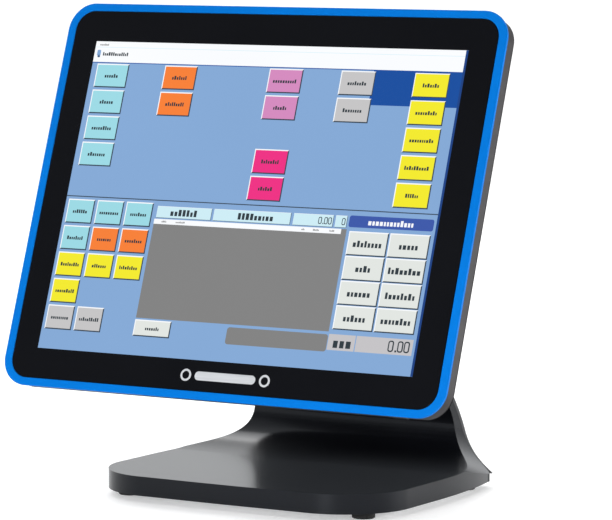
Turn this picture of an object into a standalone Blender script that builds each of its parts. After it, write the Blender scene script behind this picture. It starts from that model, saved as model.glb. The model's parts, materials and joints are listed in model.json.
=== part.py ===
"""POS touchscreen terminal: a tilting display head on a one-piece base and neck.

Metres, +Z up, screen facing -Y. The head is built upright in the frame of its hinge axis and hangs
from an empty there, which carries the rest tilt. The stand is built from the ground up. At the end the
whole object is moved so that the origin is the middle of its footprint.
"""

import math

import bmesh
import bpy
from mathutils import Matrix, Vector

GAP = 0.0003  # between pieces that touch
ARC_STEPS = 6  # segments in a rounded corner
CURVE_STEPS = 9  # segments in a Bezier stretch of the stand's profile
ROUND_STEPS = 24  # segments in a turned piece
HOLE_STEPS = 16  # segments in a screw hole

# Display
ACTIVE_W = 0.3041
ACTIVE_H = 0.2281
BEZEL_SIDE = 0.0203
BEZEL_END = 0.0211
GLASS_T = 0.003
GLASS_R = 0.014
TRIM_SIDE = 0.0064
TRIM_END = 0.0056
TRIM_T = 0.0025
GASKET_T = 0.001
GASKET_W = 0.013
GASKET_IN = 0.002
LCD_BORDER_SIDE = 0.0112
LCD_BORDER_END = 0.0127
LCD_T = 0.0085
LCD_R = 0.004
LCD_BRACKET_PART = 0.78  # of the panel's height
LCD_BRACKET_T = 0.0012
LCD_BRACKET_FLANGE = 0.007

# Mid frame
FRAME_INSET = 0.0015
FRAME_BACK = 0.0135
FRAME_WALL = 0.003
WEB_T = 0.002
WINDOW_MARGIN = 0.001

# Rear cover
TAPER_SIDE = 0.045
TAPER_END = 0.038
COVER_BACK = 0.045
COVER_WALL = 0.0025
FLAT_R = 0.012
VENT_COUNT = 9
VENT_PITCH = 0.00504
VENT_W = 0.0028
VENT_L = 0.042
VENT_UP = 0.068
VENT_X = 0.018  # from the middle to the near ends of the vents
BAY_TOP_T = 0.0012
BAY_DEPTH = 0.0155
BAY_CLEAR = 0.003  # from the bay to the mainboard's lower edge

# Inside the head
CHASSIS_T = 0.0015
CHASSIS_R = 0.006
CHASSIS_MARGIN = 0.01
CHASSIS_GAP = 0.0008
POST_R = 0.005
POST_HOLE_R = 0.0018
STANDOFF_H = 0.0038
STANDOFF_R = 0.003
STANDOFF_IN = 0.006
BOARD_W = 0.17
BOARD_H = 0.14
BOARD_T = 0.0016
BOARD_LIFT = 0.010
SOCKET_T = 0.002
SOCKET_SIDE = 0.036
HEATSINK_W = 0.06
HEATSINK_H = 0.036
HEATSINK_BASE = 0.002
FIN_H = 0.007
FIN_COUNT = 9
FIN_PART = 0.4  # of the pitch from fin to fin
HEATSINK_UP = 0.031
MEMORY_W = 0.028
MEMORY_H = 0.0676
MEMORY_T = 0.0034
MEMORY_SLOT_W = 0.008
MEMORY_SLOT_H = 0.07
MEMORY_SLOT_T = 0.0038
MEMORY_IN = 0.002
MEMORY_UP = 0.004
DRIVE_W = 0.08
DRIVE_H = 0.022
DRIVE_T = 0.0032
DRIVE_CLEAR = 0.006
CONTROLLER_W = 0.045
CONTROLLER_H = 0.02
CONTROLLER_CLEAR = 0.001
SPEAKER_W = 0.05
SPEAKER_H = 0.014
SPEAKER_D = 0.010
SPEAKER_IN = 0.064
SPEAKER_UP = 0.036
SPEAKER_LIFT = 0.002
SPEAKER_SLOT_PART = 0.7
SPEAKER_SLOT_DEEP = 0.002
SPEAKER_SLOT_W = 0.0012
SPEAKER_SLOT_PITCH = 0.0028
# Small blocks on the mainboard: (width, height, thickness), (x, up)
BOARD_BLOCKS = (
    ((0.018, 0.018, 0.0014), (0.045, 0.027)),
    ((0.014, 0.030, 0.0050), (0.066, -0.010)),
    ((0.020, 0.012, 0.0028), (0.000, -0.030)),
)

# Ports in the bay
PORT_D = 0.0125
PORT_H = 0.016
PORT_DROP = 0.0025  # of the ports' mouths below the bracket
PORT_CAVITY = 0.0105
BRACKET_LIP = 0.007
# Each port: name, middle, width, mouth's width, mouth's depth
PORTS = (
    ("serial_port", -0.0745, 0.0150, 0.0118, 0.0075),
    ("cash_drawer_port", -0.0550, 0.0150, 0.0098, 0.0075),
    ("usb_ports", -0.0120, 0.0145, 0.0122, 0.0046),
    ("display_port", 0.0120, 0.0185, 0.0162, 0.0046),
    ("lan_port", 0.0560, 0.0160, 0.0118, 0.0085),
    ("power_inlet", 0.0745, 0.0125, 0.0095, 0.0095),
)

# Screws
SCREW_R = 0.0015
SCREW_HEAD_R = 0.003
SCREW_HEAD_H = 0.0016
SCREW_L = 0.009
SCREW_STEPS = 12
SCREW_CLEAR = 0.0005  # of a blind hole past the screw's tip
COVER_SCREW_IN = 0.014

# Power button on the underside of the rim
BUTTON_W = 0.012
BUTTON_D = 0.0045
BUTTON_X = 0.142
BUTTON_DEPTH = 0.0098
BUTTON_PROUD = 0.0008
BUTTON_STROKE = 0.0008
BUTTON_CLEAR = 0.0002
BUTTON_EDGE = 0.0004
BUTTON_IN = 0.0005
SWITCH_W = 0.006
SWITCH_D = 0.0035
SWITCH_H = 0.003

# Hinge
TILT_DEG = 19.5
HINGE_ROOM = 0.0007  # between the nuts and the head's plate
HINGE_DROP = 0.025
SHAFT_R = 0.005
SHAFT_CLEAR = 0.00012
EAR_RIM = 0.0035
EAR_T = 0.004
HEAD_EAR_X = 0.042
EAR_SIDE_GAP = 0.001
EAR_FOOT_HALF = 0.014
EAR_IN = 0.0005  # of an ear's foot from the edges of the U bracket
PLATE_SIDE = 0.1
PLATE_R = 0.006
PLATE_T = 0.003
PATTERN = 0.075
SPRING_T = 0.002
SPRING_RISE = 0.1  # the dish's lean, as a part of its thickness
NUT_RIM = 0.004
NUT_T = 0.006
SHAFT_PROUD = 0.002
SHAFT_EDGE = 0.0006
BRACKET_SCREW_X = 0.026

# Stand
SCREEN_HEIGHT = 0.2112  # middle of the glass above the ground
FOOT_H = 0.005
FOOT_R = 0.008
FOOT_SIDE_IN = 0.02275
FOOT_FRONT_IN = 0.0288
FOOT_REAR_IN = 0.0203
BASE_T = 0.0137
BASE_HALF_W = 0.1185
BASE_FRONT_Y = -0.0352
BASE_FRONT_R = 0.051
BASE_REAR_NARROWING = 0.014
BASE_REAR_Y = 0.1555
BASE_REAR_R = 0.012
FRONT_BOW = 0.0008
NECK_NARROWING = 0.0343  # of the neck's waist from each side of the base
NECK_TOP_NARROWING = 0.0142  # of the neck's top from each side of its waist
NECK_DEPTH = 0.0184  # from the neck's front to the cable cover's rear, above the base
NECK_T = 0.0135
NECK_END_GAP = 0.030  # from the neck's end face to the hinge axis
NECK_LEAN_DEG = 52.0
SWEEP_RUN = 0.0571  # length of the sweep from the flat base to the upright neck
BEND_RISE = 0.0263  # from the base's top to where the neck's front is upright
REAR_RISE = 0.0053  # from the base's top to where the rear starts to lean
FLARE_RUN = 0.044
FLARE_DEG = 18.5
SWEEP_HANDLES = ((0.01, 0.0012), 0.016)  # at the flat base as (y, z), and below the bend
RISE_HANDLES = (0.020, 0.045)  # above the bend and down from the neck's end
REAR_HANDLES = (0.033, 0.060)
FLARE_HANDLES = (0.015, (0.0042, 0.0255))  # at the base's edge and at the waist
NECK_TAPER_PART = 0.4
BOW_HANDLES = (0.03, 0.04)
TUCK = (0.0055, 0.0105)
SIDE_HANDLES = (0.1, 0.055, (0.0035, 0.017))  # of the side's run in to the rear corner
CASTING_WALL = 0.0034
END_BLOCK = 0.016
COVER_T = 0.0037
CABLE_COVER_LOW_Z = 0.0093
CABLE_EXIT_W = 0.05
CABLE_EXIT_H = 0.012
CABLE_EXIT_D = 0.03
BOTTOM_T = 0.0015
WEIGHT_SIDE_IN = 0.0385
WEIGHT_D = 0.11
WEIGHT_R = 0.008
WEIGHT_T = 0.006
BOSS_R = 0.005
SCREW_TO_FOOT_X = 0.00575
SCREW_TO_FRONT_FOOT = 0.0244
SCREW_TO_REAR_FOOT = 0.0292
WEIGHT_FRONT_IN = 0.025
CABLE_SLOT_W = 0.04
CABLE_SLOT_L = 0.014
CABLE_SLOT_CLEAR = 0.002
FOOT_EDGE = 0.0012
BEYOND = 0.01  # how far cutters reach past the piece

# Colours
BLACK_GLASS = (0.006, 0.006, 0.008)
TRIM_BLUE = (0.0, 0.22, 0.87)
FOAM = (0.02, 0.02, 0.02)
RIM_GREY = (0.09, 0.085, 0.08)
COVER_BLACK = (0.025, 0.025, 0.028)
STAND_BLACK = (0.022, 0.023, 0.026)
STEEL = (0.55, 0.56, 0.57)
IRON = (0.09, 0.085, 0.08)
ZINC = (0.42, 0.43, 0.45)
BOARD_GREEN = (0.01, 0.10, 0.04)
ALUMINIUM = (0.75, 0.76, 0.78)
CHIP_BLACK = (0.02, 0.02, 0.02)
PORT_BLACK = (0.03, 0.03, 0.03)
RUBBER_BLACK = (0.012, 0.012, 0.012)
SCREEN_GREY = (0.05, 0.06, 0.08)

# Worked out from the sizes above
BAY_W = BOARD_W
NUT_R = SHAFT_R + NUT_RIM
EAR_R = SHAFT_R + EAR_RIM
SLEEVE_R = EAR_R
RING_R = SHAFT_R + GAP
SPRING_X = HEAD_EAR_X + EAR_T / 2 + GAP
NUT_X = SPRING_X + SPRING_T + GAP
HINGE_DEPTH = COVER_BACK + GAP + PLATE_T + HINGE_ROOM + NUT_R
FOOT_X = BASE_HALF_W - FOOT_SIDE_IN
FOOT_FRONT_Y = BASE_FRONT_Y + FOOT_FRONT_IN
FOOT_REAR_Y = BASE_REAR_Y - FOOT_REAR_IN
CABLE_COVER_REAR_Y = BASE_REAR_Y + COVER_T + GAP
NECK_FRONT_Y = CABLE_COVER_REAR_Y - NECK_DEPTH
BASE_REAR_HALF_W = BASE_HALF_W - BASE_REAR_NARROWING
NECK_HALF_W = BASE_HALF_W - NECK_NARROWING
NECK_TOP_HALF_W = NECK_HALF_W - NECK_TOP_NARROWING
BOTTOM_SCREW_X = FOOT_X + SCREW_TO_FOOT_X
BOTTOM_SCREW_FRONT_Y = FOOT_FRONT_Y + SCREW_TO_FRONT_FOOT
BOTTOM_SCREW_REAR_Y = FOOT_REAR_Y - SCREW_TO_REAR_FOOT
WEIGHT_W = 2 * (BASE_HALF_W - WEIGHT_SIDE_IN)
WEIGHT_Y = BASE_FRONT_Y + WEIGHT_FRONT_IN + WEIGHT_D / 2
MEMORY_X = MEMORY_IN + (MEMORY_W - BOARD_W) / 2
GLASS_W = ACTIVE_W + 2 * BEZEL_SIDE
GLASS_H = ACTIVE_H + 2 * BEZEL_END
TRIM_W = GLASS_W + 2 * (TRIM_SIDE + GAP)
TRIM_H = GLASS_H + 2 * (TRIM_END + GAP)
TRIM_R = GLASS_R + (TRIM_SIDE + TRIM_END) / 2
FRAME_W = TRIM_W - 2 * FRAME_INSET
FRAME_H = TRIM_H - 2 * FRAME_INSET
FRAME_R = TRIM_R - FRAME_INSET
WEB_FRONT = GLASS_T + GASKET_T + 2 * GAP
LCD_W = ACTIVE_W + 2 * LCD_BORDER_SIDE
LCD_H = ACTIVE_H + 2 * LCD_BORDER_END
LCD_FRONT = WEB_FRONT + WEB_T + GAP
COVER_FRONT = FRAME_BACK + GAP
REAR_W = FRAME_W - 2 * TAPER_SIDE
REAR_H = FRAME_H - 2 * TAPER_END
CHASSIS_FRONT = LCD_FRONT + LCD_T + CHASSIS_GAP
CHASSIS_BACK = CHASSIS_FRONT + CHASSIS_T
BOARD_FRONT = CHASSIS_BACK + STANDOFF_H + GAP
BOARD_BACK = BOARD_FRONT + BOARD_T
PORT_DEPTH = BOARD_BACK + GAP + PORT_D / 2
BOARD_LOW = BOARD_LIFT - REAR_H / 2
BOARD_UP = BOARD_LOW + BOARD_H / 2
POST_BACK = COVER_BACK - COVER_WALL - GAP
BAY_TOP = BOARD_LOW - BAY_CLEAR
BAY_FRONT = COVER_BACK - COVER_WALL - BAY_DEPTH
TILT = math.radians(TILT_DEG)
LEAN = math.radians(NECK_LEAN_DEG)
FLARE = math.radians(FLARE_DEG)
HINGE_Y = HINGE_DEPTH * math.cos(TILT) - HINGE_DROP * math.sin(TILT)
HINGE_Z = SCREEN_HEIGHT - HINGE_DEPTH * math.sin(TILT) - HINGE_DROP * math.cos(TILT)
STAND_EAR_X = HEAD_EAR_X - EAR_T / 2 - EAR_SIDE_GAP - EAR_T / 2
BASE_TOP = FOOT_H + BASE_T


# Scene and object helpers


def clear_scene():
    for obj in list(bpy.data.objects):
        bpy.data.objects.remove(obj, do_unlink=True)


def collection(name):
    found = bpy.data.collections.get(name)
    if found is None:
        found = bpy.data.collections.new(name)
        bpy.context.scene.collection.children.link(found)
    return found


def material(name, colour, roughness, metallic=0.0):
    found = bpy.data.materials.get(name)
    if found is None:
        found = bpy.data.materials.new(name)
        found.use_nodes = True
        shader = found.node_tree.nodes["Principled BSDF"]
        shader.inputs["Base Color"].default_value = (*colour, 1.0)
        shader.inputs["Roughness"].default_value = roughness
        shader.inputs["Metallic"].default_value = metallic
    return found


def empty(name, location, parent=None):
    obj = bpy.data.objects.new(name, None)
    obj.location = location
    obj.parent = parent
    collection("pos_terminal").objects.link(obj)
    return obj


def piece(name, mesh, place, look, parent):
    """A named part of the object: mesh, its place as (location, rotation), its material."""
    obj = bpy.data.objects.new(name, mesh)
    obj.location, obj.rotation_euler = place
    obj.parent = parent
    mesh.materials.clear()
    mesh.materials.append(look)
    collection("pos_terminal").objects.link(obj)
    return obj


def guide(mesh, place, parent):
    """A cutter or other helper, which isn't part of the object."""
    obj = bpy.data.objects.new("guide", mesh)
    obj.location, obj.rotation_euler = place
    obj.parent = parent
    obj.hide_render = True
    obj.display_type = "WIRE"
    collection("guides").objects.link(obj)
    return obj


def boolean(target, operation, tool):
    cut = target.modifiers.new(operation.lower(), "BOOLEAN")
    cut.operation = operation
    cut.solver = "EXACT"
    cut.object = tool


def bevel(target, width, segments=1, angle_deg=50):
    edge = target.modifiers.new("bevel", "BEVEL")
    edge.width = width
    edge.segments = segments
    edge.limit_method = "ANGLE"
    edge.angle_limit = math.radians(angle_deg)


# Mesh helpers

FLAT = (0.0, 0.0, 0.0)
FACING_BACK = (math.pi / 2, 0.0, 0.0)  # an outline drawn in X and Z, thick along Y
SIDEWAYS = (math.pi / 2, 0.0, math.pi / 2)  # an outline drawn in Y and Z, thick along X
ALONG_X = (0.0, math.pi / 2, 0.0)
BACKWARDS = (-math.pi / 2, 0.0, 0.0)  # a turned piece whose top looks along +Y
DOWNWARDS = (math.pi, 0.0, 0.0)


def outline_mesh(outlines, thickness):
    """Flat outlines, the first the edge and the others holes, given an even thickness about z = 0."""
    data = bpy.data.curves.new("outline", "CURVE")
    data.dimensions = "2D"
    data.fill_mode = "BOTH"
    data.extrude = thickness / 2
    for points in outlines:
        spline = data.splines.new("POLY")
        spline.points.add(len(points) - 1)
        spline.use_cyclic_u = True
        for point, (x, y) in zip(spline.points, points):
            point.co = (x, y, 0.0, 1.0)
    obj = bpy.data.objects.new("outline", data)
    bpy.context.scene.collection.objects.link(obj)
    graph = bpy.context.evaluated_depsgraph_get()
    mesh = bpy.data.meshes.new_from_object(obj.evaluated_get(graph))
    bpy.data.objects.remove(obj, do_unlink=True)
    shape = bmesh.new()
    shape.from_mesh(mesh)
    bmesh.ops.remove_doubles(shape, verts=shape.verts, dist=1e-6)
    bmesh.ops.recalc_face_normals(shape, faces=shape.faces)
    shape.to_mesh(mesh)
    shape.free()
    return mesh


def arc(cx, cy, radius, start_deg, end_deg, steps=ARC_STEPS):
    turns = [math.radians(start_deg + (end_deg - start_deg) * i / steps) for i in range(steps + 1)]
    return [(cx + radius * math.cos(turn), cy + radius * math.sin(turn)) for turn in turns]


def rounded_rect(width, height, radius, cx=0.0, cy=0.0):
    x, y = width / 2 - radius, height / 2 - radius
    corners = ((x, y, 0), (-x, y, 90), (-x, -y, 180), (x, -y, 270))
    return [point for ox, oy, at in corners for point in arc(cx + ox, cy + oy, radius, at, at + 90)]


def rect(width, height, cx=0.0, cy=0.0):
    x, y = width / 2, height / 2
    return [(cx - x, cy - y), (cx + x, cy - y), (cx + x, cy + y), (cx - x, cy + y)]


def bezier(start, start_handle, end_handle, end, steps=CURVE_STEPS):
    points = []
    for i in range(steps + 1):
        t = i / steps
        weights = ((1 - t) ** 3, 3 * (1 - t) ** 2 * t, 3 * (1 - t) * t**2, t**3)
        ends = (start, start_handle, end_handle, end)
        points.append(tuple(sum(w * p[k] for w, p in zip(weights, ends)) for k in (0, 1)))
    return points


def boxes(*sizes_and_middles):
    """One mesh of boxes, each given as (size, middle)."""
    shape = bmesh.new()
    for size, middle in sizes_and_middles:
        place = Matrix.LocRotScale(Vector(middle), None, Vector(size))
        bmesh.ops.create_cube(shape, size=1.0, matrix=place)
    mesh = bpy.data.meshes.new("boxes")
    shape.to_mesh(mesh)
    shape.free()
    return mesh


def cylinders(radius, length, middles, segments=ROUND_STEPS):
    """One mesh of equal cylinders along Z, one at each middle."""
    shape = bmesh.new()
    for middle in middles:
        bmesh.ops.create_cone(
            shape,
            cap_ends=True,
            segments=segments,
            radius1=radius,
            radius2=radius,
            depth=length,
            matrix=Matrix.Translation(middle),
        )
    mesh = bpy.data.meshes.new("cylinders")
    shape.to_mesh(mesh)
    shape.free()
    return mesh


def profile_mesh(points, closed=False):
    """A profile of (radius, height) for a Screw modifier, from top to bottom."""
    shape = bmesh.new()
    ring = [shape.verts.new((radius, 0.0, height)) for radius, height in points]
    for first, second in zip(ring, ring[1:] + ring[:1] if closed else ring[1:]):
        shape.edges.new((first, second))
    mesh = bpy.data.meshes.new("profile")
    shape.to_mesh(mesh)
    shape.free()
    return mesh


def turned(name, points, place, look, parent, closed=False, steps=ROUND_STEPS):
    obj = piece(name, profile_mesh(points, closed), place, look, parent)
    lathe = obj.modifiers.new("lathe", "SCREW")
    lathe.steps = steps
    lathe.render_steps = steps
    lathe.use_merge_vertices = True
    lathe.merge_threshold = 1e-6
    return obj


def scale_back(mesh, width_scale, height_scale):
    """Narrows the far side (-Z in the mesh, +Y once it faces back) of a plate, to taper it."""
    for vertex in mesh.vertices:
        if vertex.co.z < 0:
            vertex.co.x *= width_scale
            vertex.co.y *= height_scale


def screw(name, place, look, parent, length=SCREW_L):
    """A pan-head screw, its head's underside at the place and its shank down -Z."""
    profile = [
        (0.0, SCREW_HEAD_H),
        (SCREW_HEAD_R * 0.7, SCREW_HEAD_H),
        (SCREW_HEAD_R, SCREW_HEAD_H * 0.4),
        (SCREW_HEAD_R, 0.0),
        (SCREW_R, 0.0),
        (SCREW_R, -length),
        (0.0, -length),
    ]
    return turned(name, profile, place, look, parent, steps=SCREW_STEPS)


# Places in the head: x across, up from the middle of the screen, depth behind the glass's face


def in_head(x, up, depth):
    return (x, depth - HINGE_DEPTH, up + HINGE_DROP)


def head_plate(name, outlines, front, thickness, look, pivot):
    mesh = outline_mesh(outlines, thickness)
    return piece(name, mesh, (in_head(0, 0, front + thickness / 2), FACING_BACK), look, pivot)


def head_guide_plate(outlines, front, thickness, pivot):
    mesh = outline_mesh(outlines, thickness)
    return guide(mesh, (in_head(0, 0, front + thickness / 2), FACING_BACK), pivot)


def head_boxes(name, look, pivot, *sizes_and_middles):
    placed = [((w, d, h), in_head(x, up, depth)) for (w, h, d), (x, up, depth) in sizes_and_middles]
    return piece(name, boxes(*placed), (FLAT, FLAT), look, pivot)


def head_guide_boxes(pivot, *sizes_and_middles):
    placed = [((w, d, h), in_head(x, up, depth)) for (w, h, d), (x, up, depth) in sizes_and_middles]
    return guide(boxes(*placed), (FLAT, FLAT), pivot)


def head_holes(target, radius, length, places, pivot):
    """Round holes along the depth, each place being (x, up, depth)."""
    for place in places:
        mesh = cylinders(radius, length, [(0.0, 0.0, 0.0)], HOLE_STEPS)
        boolean(target, "DIFFERENCE", guide(mesh, (in_head(*place), FACING_BACK), pivot))


def pattern_places(depth):
    half = PATTERN / 2
    return [(x, up - HINGE_DROP, depth) for x in (-half, half) for up in (-half, half)]


def cover_screw_places(depth):
    x = REAR_W / 2 - COVER_SCREW_IN
    up = REAR_H / 2 - COVER_SCREW_IN
    return [(sx * x, sy * up, depth) for sx in (-1, 1) for sy in (-1, 1)]


# The head's pieces


def build_front(pivot):
    glass = material("black_glass", BLACK_GLASS, 0.06)
    head_plate("touch_glass", [rounded_rect(GLASS_W, GLASS_H, GLASS_R)], 0, GLASS_T, glass, pivot)

    blue = material("blue_trim", TRIM_BLUE, 0.35)
    opening = rounded_rect(GLASS_W + 2 * GAP, GLASS_H + 2 * GAP, GLASS_R + GAP)
    head_plate("display_trim", [rounded_rect(TRIM_W, TRIM_H, TRIM_R), opening], 0, TRIM_T, blue, pivot)

    foam = material("foam", FOAM, 0.95)
    width, height = GLASS_W - 2 * GASKET_IN, GLASS_H - 2 * GASKET_IN
    outer = rounded_rect(width, height, GLASS_R - GASKET_IN)
    inner = rect(width - 2 * GASKET_W, height - 2 * GASKET_W)
    head_plate("glass_gasket", [outer, inner], GLASS_T + GAP, GASKET_T, foam, pivot)


def build_mid_frame(pivot):
    grey = material("rim_grey", RIM_GREY, 0.5)
    front = TRIM_T + GAP
    outer = rounded_rect(FRAME_W, FRAME_H, FRAME_R)
    frame = head_plate("mid_frame", [outer], front, FRAME_BACK - front, grey, pivot)

    seat = rounded_rect(GLASS_W + 2 * GAP, GLASS_H + 2 * GAP, GLASS_R + GAP)
    boolean(frame, "DIFFERENCE", head_guide_plate([seat], 0, WEB_FRONT, pivot))
    window = rect(ACTIVE_W + 2 * WINDOW_MARGIN, ACTIVE_H + 2 * WINDOW_MARGIN)
    boolean(frame, "DIFFERENCE", head_guide_plate([window], 0, 2 * FRAME_BACK, pivot))
    wall = 2 * FRAME_WALL
    cavity = rounded_rect(FRAME_W - wall, FRAME_H - wall, FRAME_R - FRAME_WALL)
    behind_web = WEB_FRONT + WEB_T
    boolean(frame, "DIFFERENCE", head_guide_plate([cavity], behind_web, FRAME_BACK, pivot))

    clear = 2 * BUTTON_CLEAR
    size = (BUTTON_W + clear, 4 * FRAME_WALL, BUTTON_D + clear)
    hole = (size, (BUTTON_X, -FRAME_H / 2, BUTTON_DEPTH))
    boolean(frame, "DIFFERENCE", head_guide_boxes(pivot, hole))


def build_display(pivot):
    dark = material("lcd", SCREEN_GREY, 0.3)
    head_plate("lcd_panel", [rounded_rect(LCD_W, LCD_H, LCD_R)], LCD_FRONT, LCD_T, dark, pivot)

    steel = material("steel", STEEL, 0.35, 1.0)
    length, sheet, flange = LCD_H * LCD_BRACKET_PART, LCD_BRACKET_T, LCD_BRACKET_FLANGE
    upright = FRAME_BACK - LCD_FRONT
    for side, sign in (("left", -1), ("right", 1)):
        edge = LCD_W / 2 + GAP
        web = ((sheet, length, upright), (sign * (edge + sheet / 2), 0, LCD_FRONT + upright / 2))
        foot = ((flange, length, sheet), (sign * (edge + flange / 2), 0, LCD_FRONT + sheet / 2))
        bracket = head_boxes("lcd_bracket_" + side, steel, pivot, web)
        boolean(bracket, "UNION", head_guide_boxes(pivot, foot))


def build_chassis(pivot):
    steel = material("steel", STEEL, 0.35, 1.0)
    margin = 2 * CHASSIS_MARGIN
    outline = rounded_rect(LCD_W - margin, LCD_H - margin, CHASSIS_R)
    chassis = head_plate("chassis_plate", [outline], CHASSIS_FRONT, CHASSIS_T, steel, pivot)
    length = POST_BACK - CHASSIS_BACK + CHASSIS_T / 2
    middle = POST_BACK - length / 2
    places = pattern_places(middle) + cover_screw_places(middle)
    for place in places:
        add_post(chassis, POST_R, length, place, pivot)
    ends = [(x, up, POST_BACK) for x, up, _ in places]
    head_holes(chassis, POST_HOLE_R, 2 * SCREW_L, ends, pivot)

    stand_x = BOARD_W / 2 - STANDOFF_IN
    stand_up = BOARD_H / 2 - STANDOFF_IN
    height = STANDOFF_H + CHASSIS_T / 2
    depth = CHASSIS_BACK + STANDOFF_H - height / 2
    for sx in (-1, 1):
        for sy in (-1, 1):
            place = (sx * stand_x, BOARD_UP + sy * stand_up, depth)
            add_post(chassis, STANDOFF_R, height, place, pivot)


def add_post(target, radius, length, place, pivot):
    post = cylinders(radius, length, [(0.0, 0.0, 0.0)], HOLE_STEPS)
    boolean(target, "UNION", guide(post, (in_head(*place), FACING_BACK), pivot))


def build_mainboard(pivot):
    green = material("circuit_board", BOARD_GREEN, 0.4)
    size = (BOARD_W, BOARD_H, BOARD_T)
    board = head_boxes("mainboard", green, pivot, (size, (0, BOARD_UP, BOARD_FRONT + BOARD_T / 2)))
    head_holes(board, POST_R + GAP, 4 * BOARD_T, pattern_places(BOARD_FRONT), pivot)
    sunk = BOARD_T / 2
    slot_x = MEMORY_X + (MEMORY_W + MEMORY_SLOT_W) / 2 + GAP
    blocks = (
        ((SOCKET_SIDE, SOCKET_SIDE, SOCKET_T), (0, HEATSINK_UP)),
        ((MEMORY_SLOT_W, MEMORY_SLOT_H, MEMORY_SLOT_T), (slot_x, MEMORY_UP)),
        *BOARD_BLOCKS,
    )
    for (width, height, thick), (x, up) in blocks:
        size = (width, height, thick + sunk)
        middle = (x, up, BOARD_BACK - sunk + (thick + sunk) / 2)
        boolean(board, "UNION", head_guide_boxes(pivot, (size, middle)))


def build_heatsink(pivot):
    metal = material("aluminium", ALUMINIUM, 0.3, 1.0)
    front = BOARD_BACK + SOCKET_T + GAP
    size = (HEATSINK_W, HEATSINK_H, HEATSINK_BASE)
    base = (size, (0, HEATSINK_UP, front + HEATSINK_BASE / 2))
    sink = head_boxes("cpu_heatsink", metal, pivot, base)
    pitch = HEATSINK_W / FIN_COUNT
    height = HEATSINK_BASE + FIN_H
    fins = []
    for i in range(FIN_COUNT):
        x = (i - (FIN_COUNT - 1) / 2) * pitch
        fins.append(((pitch * FIN_PART, HEATSINK_H, height), (x, HEATSINK_UP, front + height / 2)))
    boolean(sink, "UNION", head_guide_boxes(pivot, *fins))


def build_cards(pivot):
    chip = material("chips", CHIP_BLACK, 0.5)
    size = (MEMORY_W, MEMORY_H, MEMORY_T)
    middle = (MEMORY_X, MEMORY_UP, BOARD_BACK + GAP + MEMORY_T / 2)
    head_boxes("memory_module", chip, pivot, (size, middle))

    drive_up = BOARD_LOW + BOARD_H + DRIVE_CLEAR + DRIVE_H / 2
    size = (DRIVE_W, DRIVE_H, DRIVE_T)
    middle = (0, drive_up, CHASSIS_BACK + GAP + DRIVE_T / 2)
    head_boxes("solid_state_drive", chip, pivot, (size, middle))

    green = material("circuit_board", BOARD_GREEN, 0.4)
    touch_x = -(BOARD_W + CONTROLLER_W) / 2 - CONTROLLER_CLEAR
    size = (CONTROLLER_W, CONTROLLER_H, BOARD_T)
    middle = (touch_x, BOARD_UP, CHASSIS_BACK + GAP + BOARD_T / 2)
    head_boxes("touch_controller", green, pivot, (size, middle))


def build_speakers(pivot):
    dark = material("port_plastic", PORT_BLACK, 0.45)
    up = SPEAKER_UP - FRAME_H / 2
    depth = CHASSIS_BACK + SPEAKER_LIFT + SPEAKER_D / 2
    for side, sign in (("left", -1), ("right", 1)):
        x = sign * (FRAME_W / 2 - SPEAKER_IN)
        size = (SPEAKER_W, SPEAKER_H, SPEAKER_D)
        speaker = head_boxes("speaker_" + side, dark, pivot, (size, (x, up, depth)))
        slot = (SPEAKER_W * SPEAKER_SLOT_PART, SPEAKER_SLOT_DEEP, SPEAKER_SLOT_W)
        low = up - SPEAKER_H / 2
        slots = [(slot, (x, low, depth + i * SPEAKER_SLOT_PITCH)) for i in (-1, 0, 1)]
        boolean(speaker, "DIFFERENCE", head_guide_boxes(pivot, *slots))


def build_ports(pivot):
    dark = material("port_plastic", PORT_BLACK, 0.45)
    low = BAY_TOP - PORT_DROP
    for name, x, width, mouth_w, mouth_d in PORTS:
        body = ((width, PORT_H, PORT_D), (x, low + PORT_H / 2, PORT_DEPTH))
        port = head_boxes(name, dark, pivot, body)
        mouth = ((mouth_w, 2 * PORT_CAVITY, mouth_d), (x, low, PORT_DEPTH))
        boolean(port, "DIFFERENCE", head_guide_boxes(pivot, mouth))


def build_port_bracket(pivot):
    steel = material("steel", STEEL, 0.35, 1.0)
    width = BAY_W - 2 * GAP
    depth = COVER_BACK - COVER_WALL - GAP - BAY_FRONT
    roof = ((width, BAY_TOP_T, depth), (0, BAY_TOP - BAY_TOP_T / 2, BAY_FRONT + depth / 2))
    bracket = head_boxes("port_bracket", steel, pivot, roof)
    lip_middle = (0, BAY_TOP - BRACKET_LIP / 2, BAY_FRONT + BAY_TOP_T / 2)
    lip = ((width, BRACKET_LIP, BAY_TOP_T), lip_middle)
    boolean(bracket, "UNION", head_guide_boxes(pivot, lip))
    clear = 2 * GAP
    holes = []
    for _, x, port_width, _, _ in PORTS:
        size = (port_width + clear, BEYOND, PORT_D + clear)
        holes.append((size, (x, BAY_TOP, PORT_DEPTH)))
    boolean(bracket, "DIFFERENCE", head_guide_boxes(pivot, *holes))


def bay_opening(pivot):
    """The notch for the ports, open at the bottom and the back."""
    low = -FRAME_H / 2 - BEYOND
    high = BAY_TOP + GAP
    front = BAY_FRONT - GAP
    depth = COVER_BACK + BEYOND - front
    return head_guide_boxes(pivot, ((BAY_W, high - low, depth), (0, (high + low) / 2, front + depth / 2)))


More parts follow.
